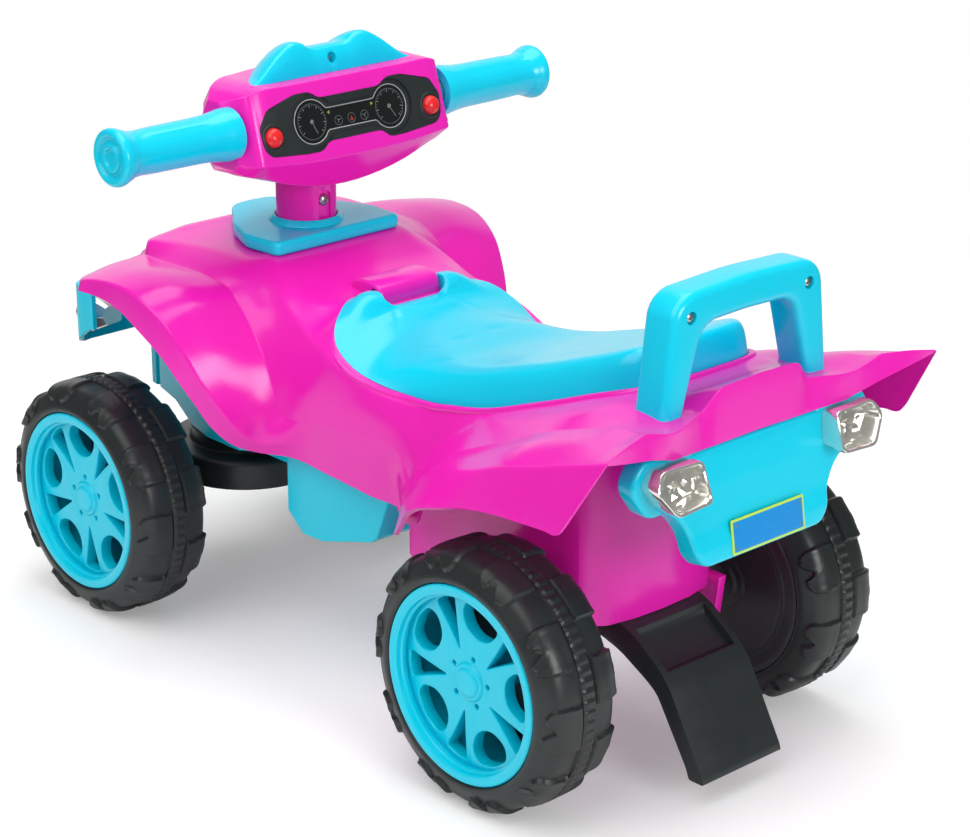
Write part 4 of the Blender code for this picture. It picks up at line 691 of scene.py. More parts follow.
def dash_panel(face):
    """The panel with its window, the window's ledge and floor, and a collar round each button."""
    panel = cut(plate([panel_outline()], 2.6 * MM, 0.4 * MM), plate([lobes(18.3, -11.2, 8.6)], 8 * MM))
    ledge = plate([lobes(18.6, -11.5, 8.9), lobes(15.4, -8.9, 6.7)], 1.0 * MM, 0.3 * MM)
    floor = plate([lobes(18.9, -11.8, 9.2)], 0.5 * MM)
    layers = [shifted(panel, z=-1.0 * MM), shifted(ledge, z=-1.5 * MM), shifted(floor, z=-2.1 * MM)]
    for side in (-1, 1):
        collar = turned(in_mm([(7.0, 0.2), (7.3, 0.75), (8.1, 0.85), (8.8, 0.5), (9.0, 0.1)]), 48)
        layers.append(shifted(collar, x=side * BUTTON_X, y=BUTTON_Y))
    piece(moved(joined(layers), face), "dash_panel_moulding", "steering", black, ("dash_panel",), 40)
    lens = shifted(plate([lobes(15.0, -8.6, 6.4)], 0.5 * MM, 0.1 * MM), z=-1.75 * MM)
    piece(moved(lens, face), "gauge_window", "steering", display, ("gauge_lens",))


def gauge_print(face):
    """The outline, two dials, three icons and the small coloured marks under the window."""
    line = [(x, y, PRINT_HEIGHT) for x, y in lobes(14.5, -8.2, 6.0)]
    outline = tube_along(line, 0.34 * MM, closed=True, sides=8)
    piece(moved(outline, face), "gauge_outline", "steering", silver_print)
    marks = dial(DIAL_X, 300) + dial(-DIAL_X, 292)
    for x in (-11, 0, 11):
        marks.append(ring_mark(3.1 * MM, 28, x * MM, ICON_Y, 0.13 * MM))
    for x in (-11, 11):
        for turn in (35, 145, 270):
            angle = math.radians(turn + x)
            tip = (x * MM + 1.9 * MM * math.cos(angle), ICON_Y + 1.9 * MM * math.sin(angle))
            marks.append(bar_mark((x * MM, ICON_Y), tip, 0.4 * MM, PRINT_HEIGHT))
    piece(moved(joined(marks), face), "gauge_marks", "steering", grey_print)
    flag = in_mm([(-1.5, -5), (1.5, -5), (0, -1.6)])
    piece(moved(flat_mark(flag), face), "gauge_warning_mark", "steering", red_print)
    arrow = in_mm([(17.5, 4.2), (19.6, 3), (17.5, 1.8)])
    greens = [flat_mark([(side * x, y) for x, y in arrow][::side]) for side in (-1, 1)]
    piece(moved(joined(greens), face), "gauge_turn_marks", "steering", green_print)


def button_shape():
    dome = smooth_line([(0, 5.6, 0), (2.6, 5.15, 0), (4.8, 3.9, 0), (6.1, 2.1, 0), (6.5, 0.4, 0)], 4)
    return turned(in_mm([(p.x, p.y) for p in dome] + [(6.5, -3.6), (0, -3.6)]), 40)


def dash():
    face = dash_frame()
    dash_shell(face)
    dash_panel(face)
    gauge_print(face)
    for name, side in SIDES:
        shape = moved(shifted(button_shape(), x=-side * BUTTON_X, y=BUTTON_Y), face)
        piece(shape, f"button_{name}_dome", f"button_{name}", red, (f"button_{name}",))


def cowl():
    """Two humps with a shallow dip between, crested near the rider and falling away in front."""
    half_width = 66.5
    crest = [(0, 16.8), (8, 16.8), (14, 17.0), (17.5, 18.4), (21, 20.6), (27, 22.2), (32, 21.8), (38, 19.2),
             (45, 14.8), (52, 9.4), (60, 3.6), (half_width, 0.4)]
    front, rear = -142, -100
    # From the rider's side forward: the share of the depth, and how much of the crest's height is there.
    section = [(0, -1.2), (0.0, 0), (0.05, 0.5), (0.10, 0.86), (0.15, 0.97), (0.21, 1.0), (0.30, 0.985),
               (0.42, 0.93), (0.55, 0.83), (0.68, 0.69), (0.8, 0.52), (0.9, 0.35), (0.96, 0.2), (1.0, 0.0),
               (1.0, -1.2)]
    rings = []
    for x in np.linspace(-half_width, half_width, 109):
        top = smooth_value(crest, abs(x))
        squeeze = 1 - 0.85 * (abs(x) / half_width) ** 2.6
        ring = []
        for share, rise in section:
            y = rear + (front - rear) * share * squeeze
            z = top * rise if rise > 0 else 0.35 + rise * 0.2
            ring.append((x * MM, y * MM, DASH_TOP + z * MM))
        rings.append(ring)
    hole_height = DASH_TOP + 9 * MM
    well = rod(3.6 * MM, (0, -108 * MM, hole_height - 2 * MM), (0, -92 * MM, hole_height + 4.2 * MM), 40)
    shape = bevelled(cut(loft(rings), well), 0.6 * MM, 2, 50)
    piece(shape, "cowl_moulding", "steering", cyan, ("cowl",), 50)
    turn = Vector((0, 0, 1)).rotation_difference(Vector((0, 1, 0.26))).to_matrix().to_4x4()
    place = Matrix.Translation((0, -107.4 * MM, hole_height - 1.8 * MM)) @ turn
    piece(moved(screw_head(2.6), place), "cowl_screw_head", "steering", steel, ("cowl_screw",))


def screw_head(radius):
    """A pan head with a cross recess, on z = 0 and facing up."""
    r = radius * MM
    dome = turned([(0.0, r * 0.62), (r * 0.5, r * 0.56), (r * 0.85, r * 0.36), (r, r * 0.12), (r, -r * 0.3),
                   (0.0, -r * 0.3)], 32)
    for angle in (0, 90):
        slot = plate([rounded(box(r * 0.55, r * 0.13), r * 0.08, 2)], r * 0.7)
        dome = cut(dome, shifted(turned_to(slot, "Z", math.radians(angle + 20)), z=r * 0.62))
    return dome


def grip_shape(side):
    """A sleeve with a flared, ringed end and a shallow panel pressed in along its top."""
    start, end = 87.0, 181.0
    profile = [(0, end - 2.2), (5.2, end - 2.2), (5.8, end - 1.0), (6.6, end - 0.4), (8.6, end - 0.4),
               (9.3, end - 1.1), (9.8, end - 2.2), (12.4, end - 2.2), (13.2, end - 1.2), (14.5, end - 0.2),
               (16.4, end - 0.2), (18.0, end - 1.4), (18.5, end - 3.4), (18.2, end - 5.6), (17.2, end - 8.2),
               (16.2, end - 11), (15.2, end - 13), (14.7, end - 15), (14.6, 150), (14.8, 130), (15.0, 112),
               (15.5, 104), (16.3, 98.5), (17.0, 94.5)]
    inside = [(17.2, start), (11.4, start), (11.4, end - 9), (0, end - 9)]
    outside = [(p.x, p.y) for p in smooth_line([(r, z, 0) for r, z in profile], 3)]
    shape = turned(in_mm(outside + inside), 72)
    for vertex in shape.data.vertices:
        x, y, z = vertex.co
        radius = math.hypot(x, y)
        if 108 * MM < z < 160 * MM and radius > 13 * MM:
            around = abs(math.degrees(math.atan2(y, x)) - 90)
            depth = step_up((58 - around) / 10) * step_up((z / MM - 109) / 3) * step_up((159 - z / MM) / 3)
            factor = 1 - 0.5 * MM * depth / radius
            vertex.co.x *= factor
            vertex.co.y *= factor
    return placed(shape, (0, BAR_Y, BAR_HEIGHT), side * math.pi / 2, "Y")


def column():
    """The column's sleeve with the slot for its screw, and the base plate with its collar."""
    tube = rod(20.4 * MM, (0, COLUMN_Y, 147 * MM), (0, COLUMN_Y, 329.6 * MM), 96)
    slot = plate([rounded(in_mm([(-5, -20), (5, -20), (5, 7), (-5, 7)]), 4.8 * MM, 6)], 12 * MM)
    slot = shifted(upright(slot), y=COLUMN_Y + 24 * MM, z=292 * MM)
    tube = bevelled(cut(tube, slot), 0.5 * MM, 2, 40)
    piece(tube, "column_sleeve", "steering", pink, ("column_tube",))
    head = placed(screw_head(4.2), (0, COLUMN_Y + 18.2 * MM, 292.5 * MM), -math.pi / 2)
    piece(head, "column_screw_head", "steering", steel, ("column_screw",))
    half = in_mm([(0, -64), (16, -62), (44, -24), (56, 4), (54, 35), (0, 35)])
    outline = rounded([(x, COLUMN_Y + y) for x, y in mirrored(half)], 6 * MM, 6)
    base = shifted(plate([outline], 9.7 * MM, 3.0 * MM, 4), z=HOOD + 0.3 * MM + 4.85 * MM)
    collar = in_mm([(20.9, 276.5), (21.2, 279.6), (22.2, 280), (23.4, 279.4), (24.3, 277.6), (25.6, 276.3),
                    (25.8, 275.5), (20.9, 275.5)])
    collar = shifted(turned(collar, 96, ring=True), y=COLUMN_Y)
    piece(joined([base, collar]), "base_plate_moulding", "chassis", cyan, ("base_plate",), 45)


def steering():
    dash()
    cowl()
    for name, side in SIDES:
        piece(grip_shape(side), f"grip_{name}_sleeve", "steering", cyan, (f"grip_{name}",), 40)
    column()


# Body shell
# Each row runs over the left half: centre, seat ledge, shoulder, flank, crease, fender edge, hem.
# Numbers are millimetres: x across, y along the car, z up from the hood's top.

SHELL_ROWS = [
    ((0, -264, -42), (30, -263.5, -42.5), (46, -262, -44), None, (60, -258, -50), (64, -256, -60),
     (64, -255, -70), 0.5),
    ((0, -240, -23), (32, -239, -23.5), (52, -238, -25), None, (70, -234, -31), (74, -233, -51),
     (74, -232, -68), 1),
    ((0, -216, -7), (36, -215, -7), (60, -214, -8), None, (79, -212, -15), (82, -211, -38),
     (82, -210, -58), 1),
    ((0, -200, 0), (52, -200, 0), (83, -199, -4), None, (87, -198, -13.5), (140, -199, -19),
     (142, -198, -27), 3),
    ((0, -190, 0), (54, -190, 0), (81.5, -190, -2.5), None, (90, -189, -12), (146, -189, -16),
     (150, -187, -23), 3),
    ((0, -170, 0), (56, -170, 0), (77.5, -170, -0.8), None, (94.5, -170, -10), (148.5, -170, -11.7),
     (150, -168, -22), 3),
    ((0, -145, 0), (57, -145, 0), (73, -145, 0), None, (95, -145, -8.5), (150, -145, -9.4),
     (150, -144, -25), 4),
    ((0, -120, 0), (57, -120, 0), (69, -120, -1.5), None, (93, -120, -9.8), (149.2, -120, -13.3),
     (149.5, -122, -35), 5),
    ((0, -98, 0), (57, -98, 0), (66, -101, -4), None, (89.5, -100, -16.6), (145.7, -100, -25),
     (146, -101, -50), 6),
    ((0, -84, -5), (58, -84, -6), (68, -85, -9), None, (90, -88, -27), (141, -87, -41), (142, -90, -64), 7),
    ((0, -68, -11), (60, -68, -13.5), (72, -66, -17.5), None, (90, -77, -40), (136, -77, -60),
     (134, -84, -80), 7),
    ((0, -52, -14.5), (58, -52, -17.5), (75.5, -51, -26), None, (90, -67, -54), (127, -70, -80),
     (125, -80, -96), 5),
    ((0, -37, -16), (50, -36, -19), (79, -37, -32), None, (90, -58, -72), (115, -65, -98),
     (112, -73, -110), 3),
    ((0, -22, -24.5), (68, -22, -24.5), (82, -22, -37.5), None, (89, -50, -90), (102, -60, -108),
     (101, -65, -115), 1),
    ((0, -8, -34), (78, -8, -34.5), (84, -8, -42.5), (86, -18, -61), (87, -32, -88), (87, -40, -106),
     (86, -47, -117.5), 0),
    ((0, 11, -42), (77.5, 11, -45), (82.8, 11, -49.5), (84.5, 6, -66), (85.5, 0, -86), (84.5, -8, -104),
     (83.5, -14, -120), 0),
    ((0, 33, -49), (73, 33, -51), (79, 33, -52.7), (82.5, 32, -66), (83, 30, -84), (82, 28, -104),
     (81, 27, -124), 0),
    ((0, 52, -51), (68.5, 52, -52.7), (75, 52, -54), (80, 52, -69), (81.5, 53, -86), (81, 54, -106),
     (80.5, 55, -126), 0),
    ((0, 66, -51.5), (67, 66, -53), (71.5, 66, -53.7), (80, 66, -81), (83, 67, -100), (87, 65, -114),
     (90, 63, -130), 0.5),
    ((0, 76, -50.5), (66, 76, -52.2), (69.8, 77, -52.8), (80.5, 77, -86), (89, 79, -98.5), (97, 76, -110),
     (102, 73, -130), 1),
    ((0, 87, -49.2), (65.3, 87, -50.5), (69, 87, -51), (79.6, 88, -77), (91, 90, -88), (102, 88, -99),
     (110, 87, -119), 1.2),
    ((0, 100, -47.5), (64.5, 100, -48.5), (68, 100, -49), (78.5, 100, -66), (93, 101, -78), (106, 100, -87),
     (118, 101, -105), 1.5),
    ((0, 121, -43.5), (63.5, 121, -43.7), (67, 121, -44.4), (76, 122, -50), (95.5, 121, -65),
     (112, 120, -74), (127, 120, -92), 2),
    ((0, 152, -32), (62, 152, -33), (65.5, 152, -33.7), (79, 152, -39), (99, 152, -50), (124, 152, -59.5),
     (137, 152, -79), 2.5),
    ((0, 180, -23), (60, 180, -23), (63.5, 180, -23.7), (80, 180, -28), (100, 180, -37.5), (132, 179, -49),
     (143.5, 180, -69), 2.5),
    ((0, 206, -13.5), (56, 206, -13.5), (60, 206, -14), (79, 206, -18), (100, 206, -26), (137, 205, -38),
     (147, 207, -63), 2.5),
    ((0, 231, -6.5), (44, 231, -6.7), (52, 230, -7.2), (76, 231, -10), (98, 233, -17), (140, 233, -29),
     (148, 232, -60.5), 2.5),
    ((0, 255, -4), (42, 255, -4.2), (51, 254, -8), (76, 256, -10), (97, 259, -10), (141, 264, -19),
     (148.5, 253, -59), 2),
    ((0, 269, 2.2), (35, 269, 1.4), (45.5, 267, -10.5), (76, 274.5, -12), (99, 275, -8), (141.5, 283, -13),
     (148.9, 263, -58.5), 1.2),
    ((0, 277, 5), (34, 276.7, 3.6), (45, 273, -10), (76, 283, -12), (101, 284, -5), (141.6, 294, -9.4),
     (148.8, 268.5, -52), 1),
]
TAIL_ROW = [(0, 276.5, -30), (36, 276.5, -30.5), (50, 276.5, -30.5), (74, 280, -29), (97, 286, -21),
            (120, 289, -16.5), (138.5, 292.3, -12), (142, 292.5, -11)]
# How far each corner of a row is rounded off, in millimetres: ledge, shoulder, flank, crease, top, edge.
ROW_ROUNDING = [5.5, 3.4, 10, 1.1, 30, 2.6]
SHELL_WALL = 2.7 * MM


def shell_keys(row):
    """A row's eight points, with the flank filled in where it isn't given and the fender's top crowned."""
    centre, ledge, shoulder, flank, crease, edge, hem, crown = row
    if flank is None:
        flank = [(a + b) / 2 for a, b in zip(shoulder, crease)]
        flank[0] += 0.5
        flank[2] += 0.5
    rise = math.hypot(edge[0] - crease[0], edge[2] - crease[2])
    top = [(a + b) / 2 for a, b in zip(crease, edge)]
    top[0] += crown * (crease[2] - edge[2]) / rise
    top[2] += crown * (edge[0] - crease[0]) / rise
    return [Vector(point) for point in (centre, ledge, shoulder, flank, crease, top, edge, hem)]


def shell_grid():
    """Fine rows of points over the left half, smooth along the car, in metres."""
    keys = [shell_keys(row) for row in SHELL_ROWS]
    columns = [smooth_line([row[i] for row in keys], 5) for i in range(8)]
    grid = []
    for places in zip(*columns):
        line = rounded([tuple(place) for place in places], [0] + ROW_ROUNDING + [0], 5, closed=False)
        first = [tuple(places[0].lerp(Vector(line[1]), k / 6)) for k in range(6)]
        grid.append([Vector((x * MM, y * MM, HOOD + z * MM)) for x, y, z in first + line[1:]])
    return grid


def tail_place(point):
    """Where the tail's lower edge is under a point of the last row."""
    x = point.x / MM
    known = [place[0] for place in TAIL_ROW]
    y = np.interp(x, known, [place[1] for place in TAIL_ROW])
    z = np.interp(x, known, [place[2] for place in TAIL_ROW])
    return Vector((min(x, 139.5) * MM, y * MM, HOOD + z * MM))


def shell_skin():
    """The open outer surface of the body, both halves, as a wall of even thickness."""
    grid = shell_grid()
    last, before = grid[-1], grid[-2]
    edge_column = max(range(len(last)), key=lambda i: (last[i].x / MM > 100) * (last[i].y + 0.2 * last[i].z))
    tails = []
    for i in range(edge_column + 1):
        places = [tuple(before[i]), tuple(last[i]), tuple(tail_place(last[i]))]
        corner = rounded(places, 4.4 * MM, 5, closed=False)
        high, low = Vector(corner[-2]), Vector(corner[-1])
        tails.append([Vector(point) for point in corner[1:-1]] + [high.lerp(low, k / 3) for k in (1, 2, 3)])
    vertices = [point for row in grid[:-1] for point in row]
    count = len(last)
    faces = bands(len(grid) - 1, count, closed=False)
    base = (len(grid) - 2) * count
    start = len(vertices)
    steps = len(tails[0])
    for tail in tails:
        vertices += tail
    for c in range(edge_column):
        a, b = start + c * steps, start + (c + 1) * steps
        faces.append((base + c, base + c + 1, b, a))
        for k in range(steps - 1):
            faces.append((a + k, b + k, b + k + 1, a + k + 1))
    rest = len(vertices)
    vertices += last[edge_column + 1:]
    ends = [start + edge_column * steps + 2] + [rest + i for i in range(count - edge_column - 1)]
    for c in range(edge_column, count - 1):
        faces.append((base + c, base + c + 1, ends[c + 1 - edge_column], ends[c - edge_column]))
    skin = mesh_object("skin", vertices, faces)
    skin = modified(skin, "MIRROR", use_axis=(True, False, False), merge_threshold=1e-5)
    return modified(skin, "SOLIDIFY", thickness=SHELL_WALL, offset=-1.0, use_even_offset=True,
                    thickness_clamp=1.0)


def height_finder(shape):
    """A function that gives the height of the shape's upper side at a place."""
    tree = BVHTree.FromPolygons([vertex.co.copy() for vertex in shape.data.vertices],
                                [tuple(face.vertices) for face in shape.data.polygons])

    def height_at(x, y):
        found = tree.ray_cast(Vector((x, y, 0.6)), Vector((0, 0, -1)))[0]
        return found.z if found else HOOD - 0.05

    return height_at


def body_cover():
    """The body with the bin's mouth, the clearance for the seat's front, the column's hole and the bead."""
    skin = shell_skin()
    height_at = height_finder(skin)
    cut_height = HOOD - 26 * MM
    mouth = mirrored(in_mm([(0, 46), (42, 46), (48, 52), (48, 172), (42, 190), (0, 192)]))
    skin = cut(skin, shifted(plate([rounded(mouth, 6 * MM, 5)], 140 * MM), z=cut_height))
    relief = [place for place in pushed(lid_outline(), -0.4 * MM) if place[1] < -2 * MM]
    skin = cut(skin, shifted(plate([relief], 60 * MM), z=cut_height))
    skin = cut(skin, rod(23.5 * MM, (0, COLUMN_Y, cut_height), (0, COLUMN_Y, HOOD + 14 * MM), 64))
    tip = in_mm([(50, -92), (51, -122), (55, -131), (62, -133.5), (70, -131), (75, -118), (79, -92)])
    tip = rounded([(y, HOOD + z) for y, z in tip], 6 * MM, 5)
    tip = shifted(sideways(plate([tip], 2.4 * MM, 0.7 * MM)), x=79.4 * MM)
    shapes = [skin, seat_bead(height_at), tip, mirror_of(tip, "tip")]
    piece(joined(shapes), "body_cover", "chassis", pink, ("body_shell",), 40)
    return height_at


# Seat

HINGE = Vector((0, -33 * MM, 251.5 * MM))


def lid_outline():
    """The seat's lower edge in plan: ears beside the hinge block, wide shoulders and a rounded rear."""
    half = [(0, -23.5), (26.2, -23.5), (27.4, -27), (27.6, -36), (31, -40.5), (40, -40), (51, -34.5),
            (62, -26.5), (71, -19), (76.5, -11), (78.4, -2), (77.6, 11), (73, 33), (68.5, 52), (67, 66),
            (66, 78), (64.5, 100), (63.5, 121), (62, 152), (60, 180), (56, 206), (52.5, 219), (45, 228.5),
            (30, 232), (0, 232.5)]
    radii = [0, 2.5, 2, 4, 6, 8, 8, 8, 8, 8, 8, 12, 15, 12, 8, 8, 15, 15, 15, 15, 12, 9, 9, 12, 0]
    line = rounded(in_mm(half), [radius * MM for radius in radii], 4, closed=False)
    dense = [line[0]]
    for a, b in zip(line, line[1:]):
        length = math.dist(a, b)
        steps = max(1, round(length / (5 * MM)))
        for k in range(1, steps + 1):
            dense.append((a[0] + (b[0] - a[0]) * k / steps, a[1] + (b[1] - a[1]) * k / steps))
    dense = [dense[0]] + [b for a, b in zip(dense, dense[1:]) if math.dist(a, b) > 0.2 * MM]
    return mirrored(dense)


def pushed(outline, distance):
    """An outline moved out by a distance, or in where it is negative."""
    result = []
    count = len(outline)
    for i, place in enumerate(outline):
        before, after = Vector(outline[i - 1]), Vector(outline[(i + 1) % count])
        run = (after - before).normalized()
        result.append((place[0] + run.y * distance, place[1] - run.x * distance))
    return result


def seat_bead(height_at):
    """The rolled rim of the body round the seat."""
    line = pushed(lid_outline(), 3.0 * MM)
    line = [place for place in line if place[1] > -14 * MM]
    start = max(range(len(line)), key=lambda i: math.dist(line[i], line[i - 1]))
    line = line[start:] + line[:start]
    rings = []
    count = len(line)
    for i, (x, y) in enumerate(line):
        before, after = Vector(line[max(i - 1, 0)]), Vector(line[min(i + 1, count - 1)])
        run = (after - before).normalized()
        across = Vector((run.y, -run.x, 0))
        full = min(1.0, min(i, count - 1 - i) / 10)
        size = 2.5 * MM * (0.35 + 0.65 * step_up(full))
        middle = Vector((x, y, height_at(x, y) - 1.4 * MM + 0.8 * MM * step_up(full)))
        ring = []
        for k in range(12):
            angle = 2 * math.pi * k / 12
            ring.append(middle + across * size * math.cos(angle) + Vector((0, 0, size * math.sin(angle))))
        rings.append(ring)
    return loft(rings)


# Along the car in mm: the height of the seat's middle line over the hood, and how steeply its sides rise.
CROWN = [(-40, -11), (-33, -12.5), (-24, -18), (0, -26), (22, -28.5), (50, -30), (73, -29.5), (98, -25),
         (117, -19.5), (152, -9), (175, -1), (200, 8), (218, 14.5), (232, 16.5)]
STEEPNESS = [(-36, 2.5), (0, 2.0), (25, 3), (53, 7), (98, 14), (232, 18)]


def lid_place(x, y, step):
    """A place on the way from the lid's edge to its middle line, kept clear of the hinge block."""
    spine = Vector((0.0, min(max(y, -8 * MM), 205 * MM)))
    edge = Vector((x, y))
    knee = edge.lerp(spine, 0.35)
    if y < -20 * MM:
        knee.x += math.copysign(max(0.0, 60 * MM - abs(x)) * 0.3, x)
        knee.y = max(knee.y, -19 * MM)
    if step <= 0.35:
        return edge.lerp(knee, step / 0.35)
    return knee.lerp(spine, (step - 0.35) / 0.65)


def seat_groove(x, y):
    """Depth of the seat's fine crease lines, in metres: x is the distance from the middle."""
    lines = [[(24, -12), (36, 4), (47, 20), (52, 30)], [(52, 30), (58, 34), (68, 38)],
             [(52, 30), (44, 36), (34, 40), (0, 44)], [(52, 30), (54, 50), (50, 60), (46, 66)]]
    nearest = 1.0
    for line in lines:
        for a, b in zip(line, line[1:]):
            run = Vector(b) - Vector(a)
            here = Vector((x / MM, y / MM)) - Vector(a)
            along = min(max(here.dot(run) / run.length_squared, 0.0), 1.0)
            nearest = min(nearest, (here - run * along).length / 1.6)
    return 0.55 * MM * (1 - step_up(nearest))


def seat_surface(outline, height_at, drop):
    """Rings of points from the seat's edge to its middle line."""
    steps = [0.0, 0.012, 0.03, 0.05, 0.075, 0.105, 0.14, 0.18] + [0.18 + 0.82 * k / 26 for k in range(1, 27)]
    rings = []
    edges = [height_at(x, y) + 0.5 * MM for x, y in outline]
    for step in steps:
        ring = []
        for (x, y), edge in zip(outline, edges):
            px, py = lid_place(x, y, step)
            top = HOOD + smooth_value(CROWN, py / MM) * MM - drop
            power = smooth_value(STEEPNESS, py / MM)
            share = 1 - (1 - step) ** power
            height = edge + (top - edge) * share
            if not drop:
                ear = step_up((-13 - py / MM) / 13) * step_up((abs(px) / MM - 22) / 6) * step_up(step / 0.16)
                height += max(0.0, HOOD - 11.7 * MM - height) * ear * step_up((60 - abs(px) / MM) / 28)
                if 0.14 <= step < 1.0:
                    height -= seat_groove(abs(px), py)
            ring.append((px, py, height))
        rings.append(ring)
    return rings


def seat(height_at):
    """The lid, hollow underneath, with its two pins, and the body's block that they turn in."""
    outline = lid_outline()
    outer = seat_surface(outline, height_at, 0.0)
    inner = seat_surface(pushed(outline, -3 * MM), height_at, 3 * MM)
    count = len(outline)
    half = count // 2
    vertices, faces = [], []
    for rings in (outer, inner):
        base = len(vertices)
        for ring in rings:
            vertices += ring
        faces += bands(len(rings), count, start=base)
        last = base + (len(rings) - 1) * count
        for i in range(1, half):
            j = count - i
            if i + 1 == j - 1:
                faces.append((last + i, last + i + 1, last + j))
            else:
                faces.append((last + i, last + i + 1, last + j - 1, last + j))
        faces.append((last, last + 1, last + count - 1))
    size = len(outer) * count
    for i in range(count):
        j = (i + 1) % count
        faces.append((i, j, size + j, size + i))
    shapes = [baked(mesh_object("lid", vertices, faces))]
    for side in (-1, 1):
        start, end = (side * 26.9 * MM, HINGE.y, HINGE.z), (side * 33 * MM, HINGE.y, HINGE.z)
        shapes.append(rod(1.6 * MM, start, end, 32, 0.8 * MM))
    piece(joined(shapes), "seat_cover", "seat", cyan, ("seat_lid",), 32)
    block = [(-57.5, -22), (-57.5, -13.5), (-51, -9), (-37, -8), (-27.5, -10.5), (-25, -16), (-26, -28)]
    block = rounded(block, [0, 3, 4, 6, 5, 4, 0], 6)
    block = sideways(plate([[(y * MM, HOOD + z * MM) for y, z in block]], 51 * MM, 2.2 * MM, 4))
    hole = rod(2.6 * MM, (-30 * MM, HINGE.y, HINGE.z), (30 * MM, HINGE.y, HINGE.z), 32)
    piece(cut(block, hole), "hinge_block", "chassis", pink, (), 35)


# Lamps, bumpers, plate and push handle

TAIL_LAMP = [(56, -55), (86, -56.5), (98, -40), (91, -30), (57, -31)]
HEADLIGHT = [(68, -80), (94, -82), (101, -68), (94, -55), (68, -56)]
LAMP_SIDES = 48
STAR_POINTS = 16
BUMPER_Y = 268.5 * MM
BUMPER_HEIGHT = HOOD - 31.7 * MM
BUMPER_LEAN = math.atan2(10, 66)


def resampled(points, count):
    """A closed outline as equally spaced points."""
    places = [Vector(point) for point in points]
    lengths = [0.0]
    for a, b in zip(places, places[1:] + places[:1]):
        lengths.append(lengths[-1] + (b - a).length)
    result = []
    for k in range(count):
        want = lengths[-1] * k / count
        i = max(j for j in range(len(places)) if lengths[j] <= want)
        a, b = places[i], places[(i + 1) % len(places)]
        result.append(tuple(a.lerp(b, (want - lengths[i]) / (lengths[i + 1] - lengths[i]))))
    return result


def lamp(outline, side, back, face, lean, foot_scale):
    """A plated lamp with a rolled rim round a deep bowl, whose floor is a faceted star. All in mm."""
    line = resampled(rounded(outline, 4.0, 5), LAMP_SIDES)
    middle = Vector((sum(x for x, _ in line) / LAMP_SIDES, sum(z for _, z in line) / LAMP_SIDES))
    foot = min(z for _, z in line)
    run = 1 if face > back else -1
    # From the back over the rim into the bowl: the outline's scale, and the place along the car.
    levels = [(foot_scale, back), (0.95, face - 10 * run), (0.955, face - 9 * run),
              (0.995, face - 8.3 * run), (1.0, face - 7.4 * run), (1.0, face - 1.6 * run),
              (0.985, face - 0.5 * run), (0.955, face), (0.90, face), (0.865, face - 0.5 * run),
              (0.845, face - 1.8 * run), (0.76, face - 9 * run), (0.72, face - 12 * run)]
    rings = []
    for scale, y in levels:
        ring = []
        for x, z in line:
            place = middle + (Vector((x, z)) - middle) * scale
            front = min(max((y - back) / (face - back), 0.0), 1.0)
            shift = (place.y - foot) * lean * front * run
            ring.append((side * place.x * MM, (y - shift) * MM, (HOOD_MM + place.y) * MM))
        rings.append(ring)
    star = [Vector((side * middle.x * MM, (face - 9.5 * run) * MM, (HOOD_MM + middle.y) * MM))]
    for ring_scale, depth in ((0.16, 12.0), (0.42, 10.6), (0.70, 12.2)):
        for k in range(STAR_POINTS):
            x, z = line[k * LAMP_SIDES // STAR_POINTS]
            scale = ring_scale * (1.18 if k % 2 else 0.86) if ring_scale < 0.7 else ring_scale
            place = middle + (Vector((x, z)) - middle) * scale
            deep = depth - (1.5 if k % 2 else 0.0) * (ring_scale < 0.7)
            shift = (place.y - foot) * lean * run
            star.append(Vector((side * place.x * MM, (face - deep * run) * MM - shift * MM,
                                (HOOD_MM + place.y) * MM)))
    faces = []
    for k in range(STAR_POINTS):
        j = (k + 1) % STAR_POINTS
        faces.append((0, 1 + k, 1 + j))
        for a in (1, 1 + STAR_POINTS):
            b = a + STAR_POINTS
            faces.append((a + k, b + k, b + j))
            faces.append((a + k, b + j, a + j))
    return loft(rings), mesh_object("star", star, faces)


def lamp_pair(name, outline, back, face, lean, foot_scale):
    for label, side in SIDES:
        shell, star = lamp(outline, side, back, face, lean, foot_scale)
        piece(shell, f"{name}_{label}_body", "chassis", chrome, (f"{name}_{label}",), 28)
        piece(star, f"{name}_{label}_reflector", "chassis", chrome, (), 5)


def tail_bumper():
    """A hollow panel across the tail, its middle raised and a dimple at each side of it."""
    half = in_mm([(0, -70), (50, -70), (57.5, -62), (59.5, -50), (67, -37), (84, -26), (90, -3.2), (84, 0),
                  (0, 0)])
    outline = rounded(mirrored(half), 7 * MM, 6)
    shape = plate([outline], 16 * MM, 3.2 * MM, 5)
    hollow = plate([pushed(outline, -3 * MM)], 16 * MM)
    shape = cut(upright(shape), shifted(upright(hollow), y=-3.2 * MM))
    for vertex in shape.data.vertices:
        x, z = abs(vertex.co.x) / MM, vertex.co.z / MM
        if vertex.co.y > 4.5 * MM:
            vertex.co.y -= 1.6 * MM * step_up((x - 38) / 6) * step_up((z + 60) / 12)
            dimple = max(0.0, 1 - math.hypot(x - 34, z + 43) / 3.2)
            vertex.co.y -= 0.8 * MM * step_up(dimple * 1.6)
    shape = shifted(turned_to(shape, "X", BUMPER_LEAN), y=BUMPER_Y, z=BUMPER_HEIGHT)
    piece(shape, "tail_bumper_panel", "chassis", cyan, ("rear_bumper",), 32)


def lamp_cups():
    """The bumper's cups round the bases of the rear lamps."""
    outline = pushed(rounded(in_mm(TAIL_LAMP), 5 * MM, 5), 5.5 * MM)
    cup = plate([outline], 13 * MM, 2.6 * MM, 4)
    cup = shifted(upright(cup), y=269 * MM, z=HOOD - 1.5 * MM)
    piece(joined([cup, mirror_of(cup, "cup")]), "tail_lamp_cups", "chassis", cyan, (), 32)


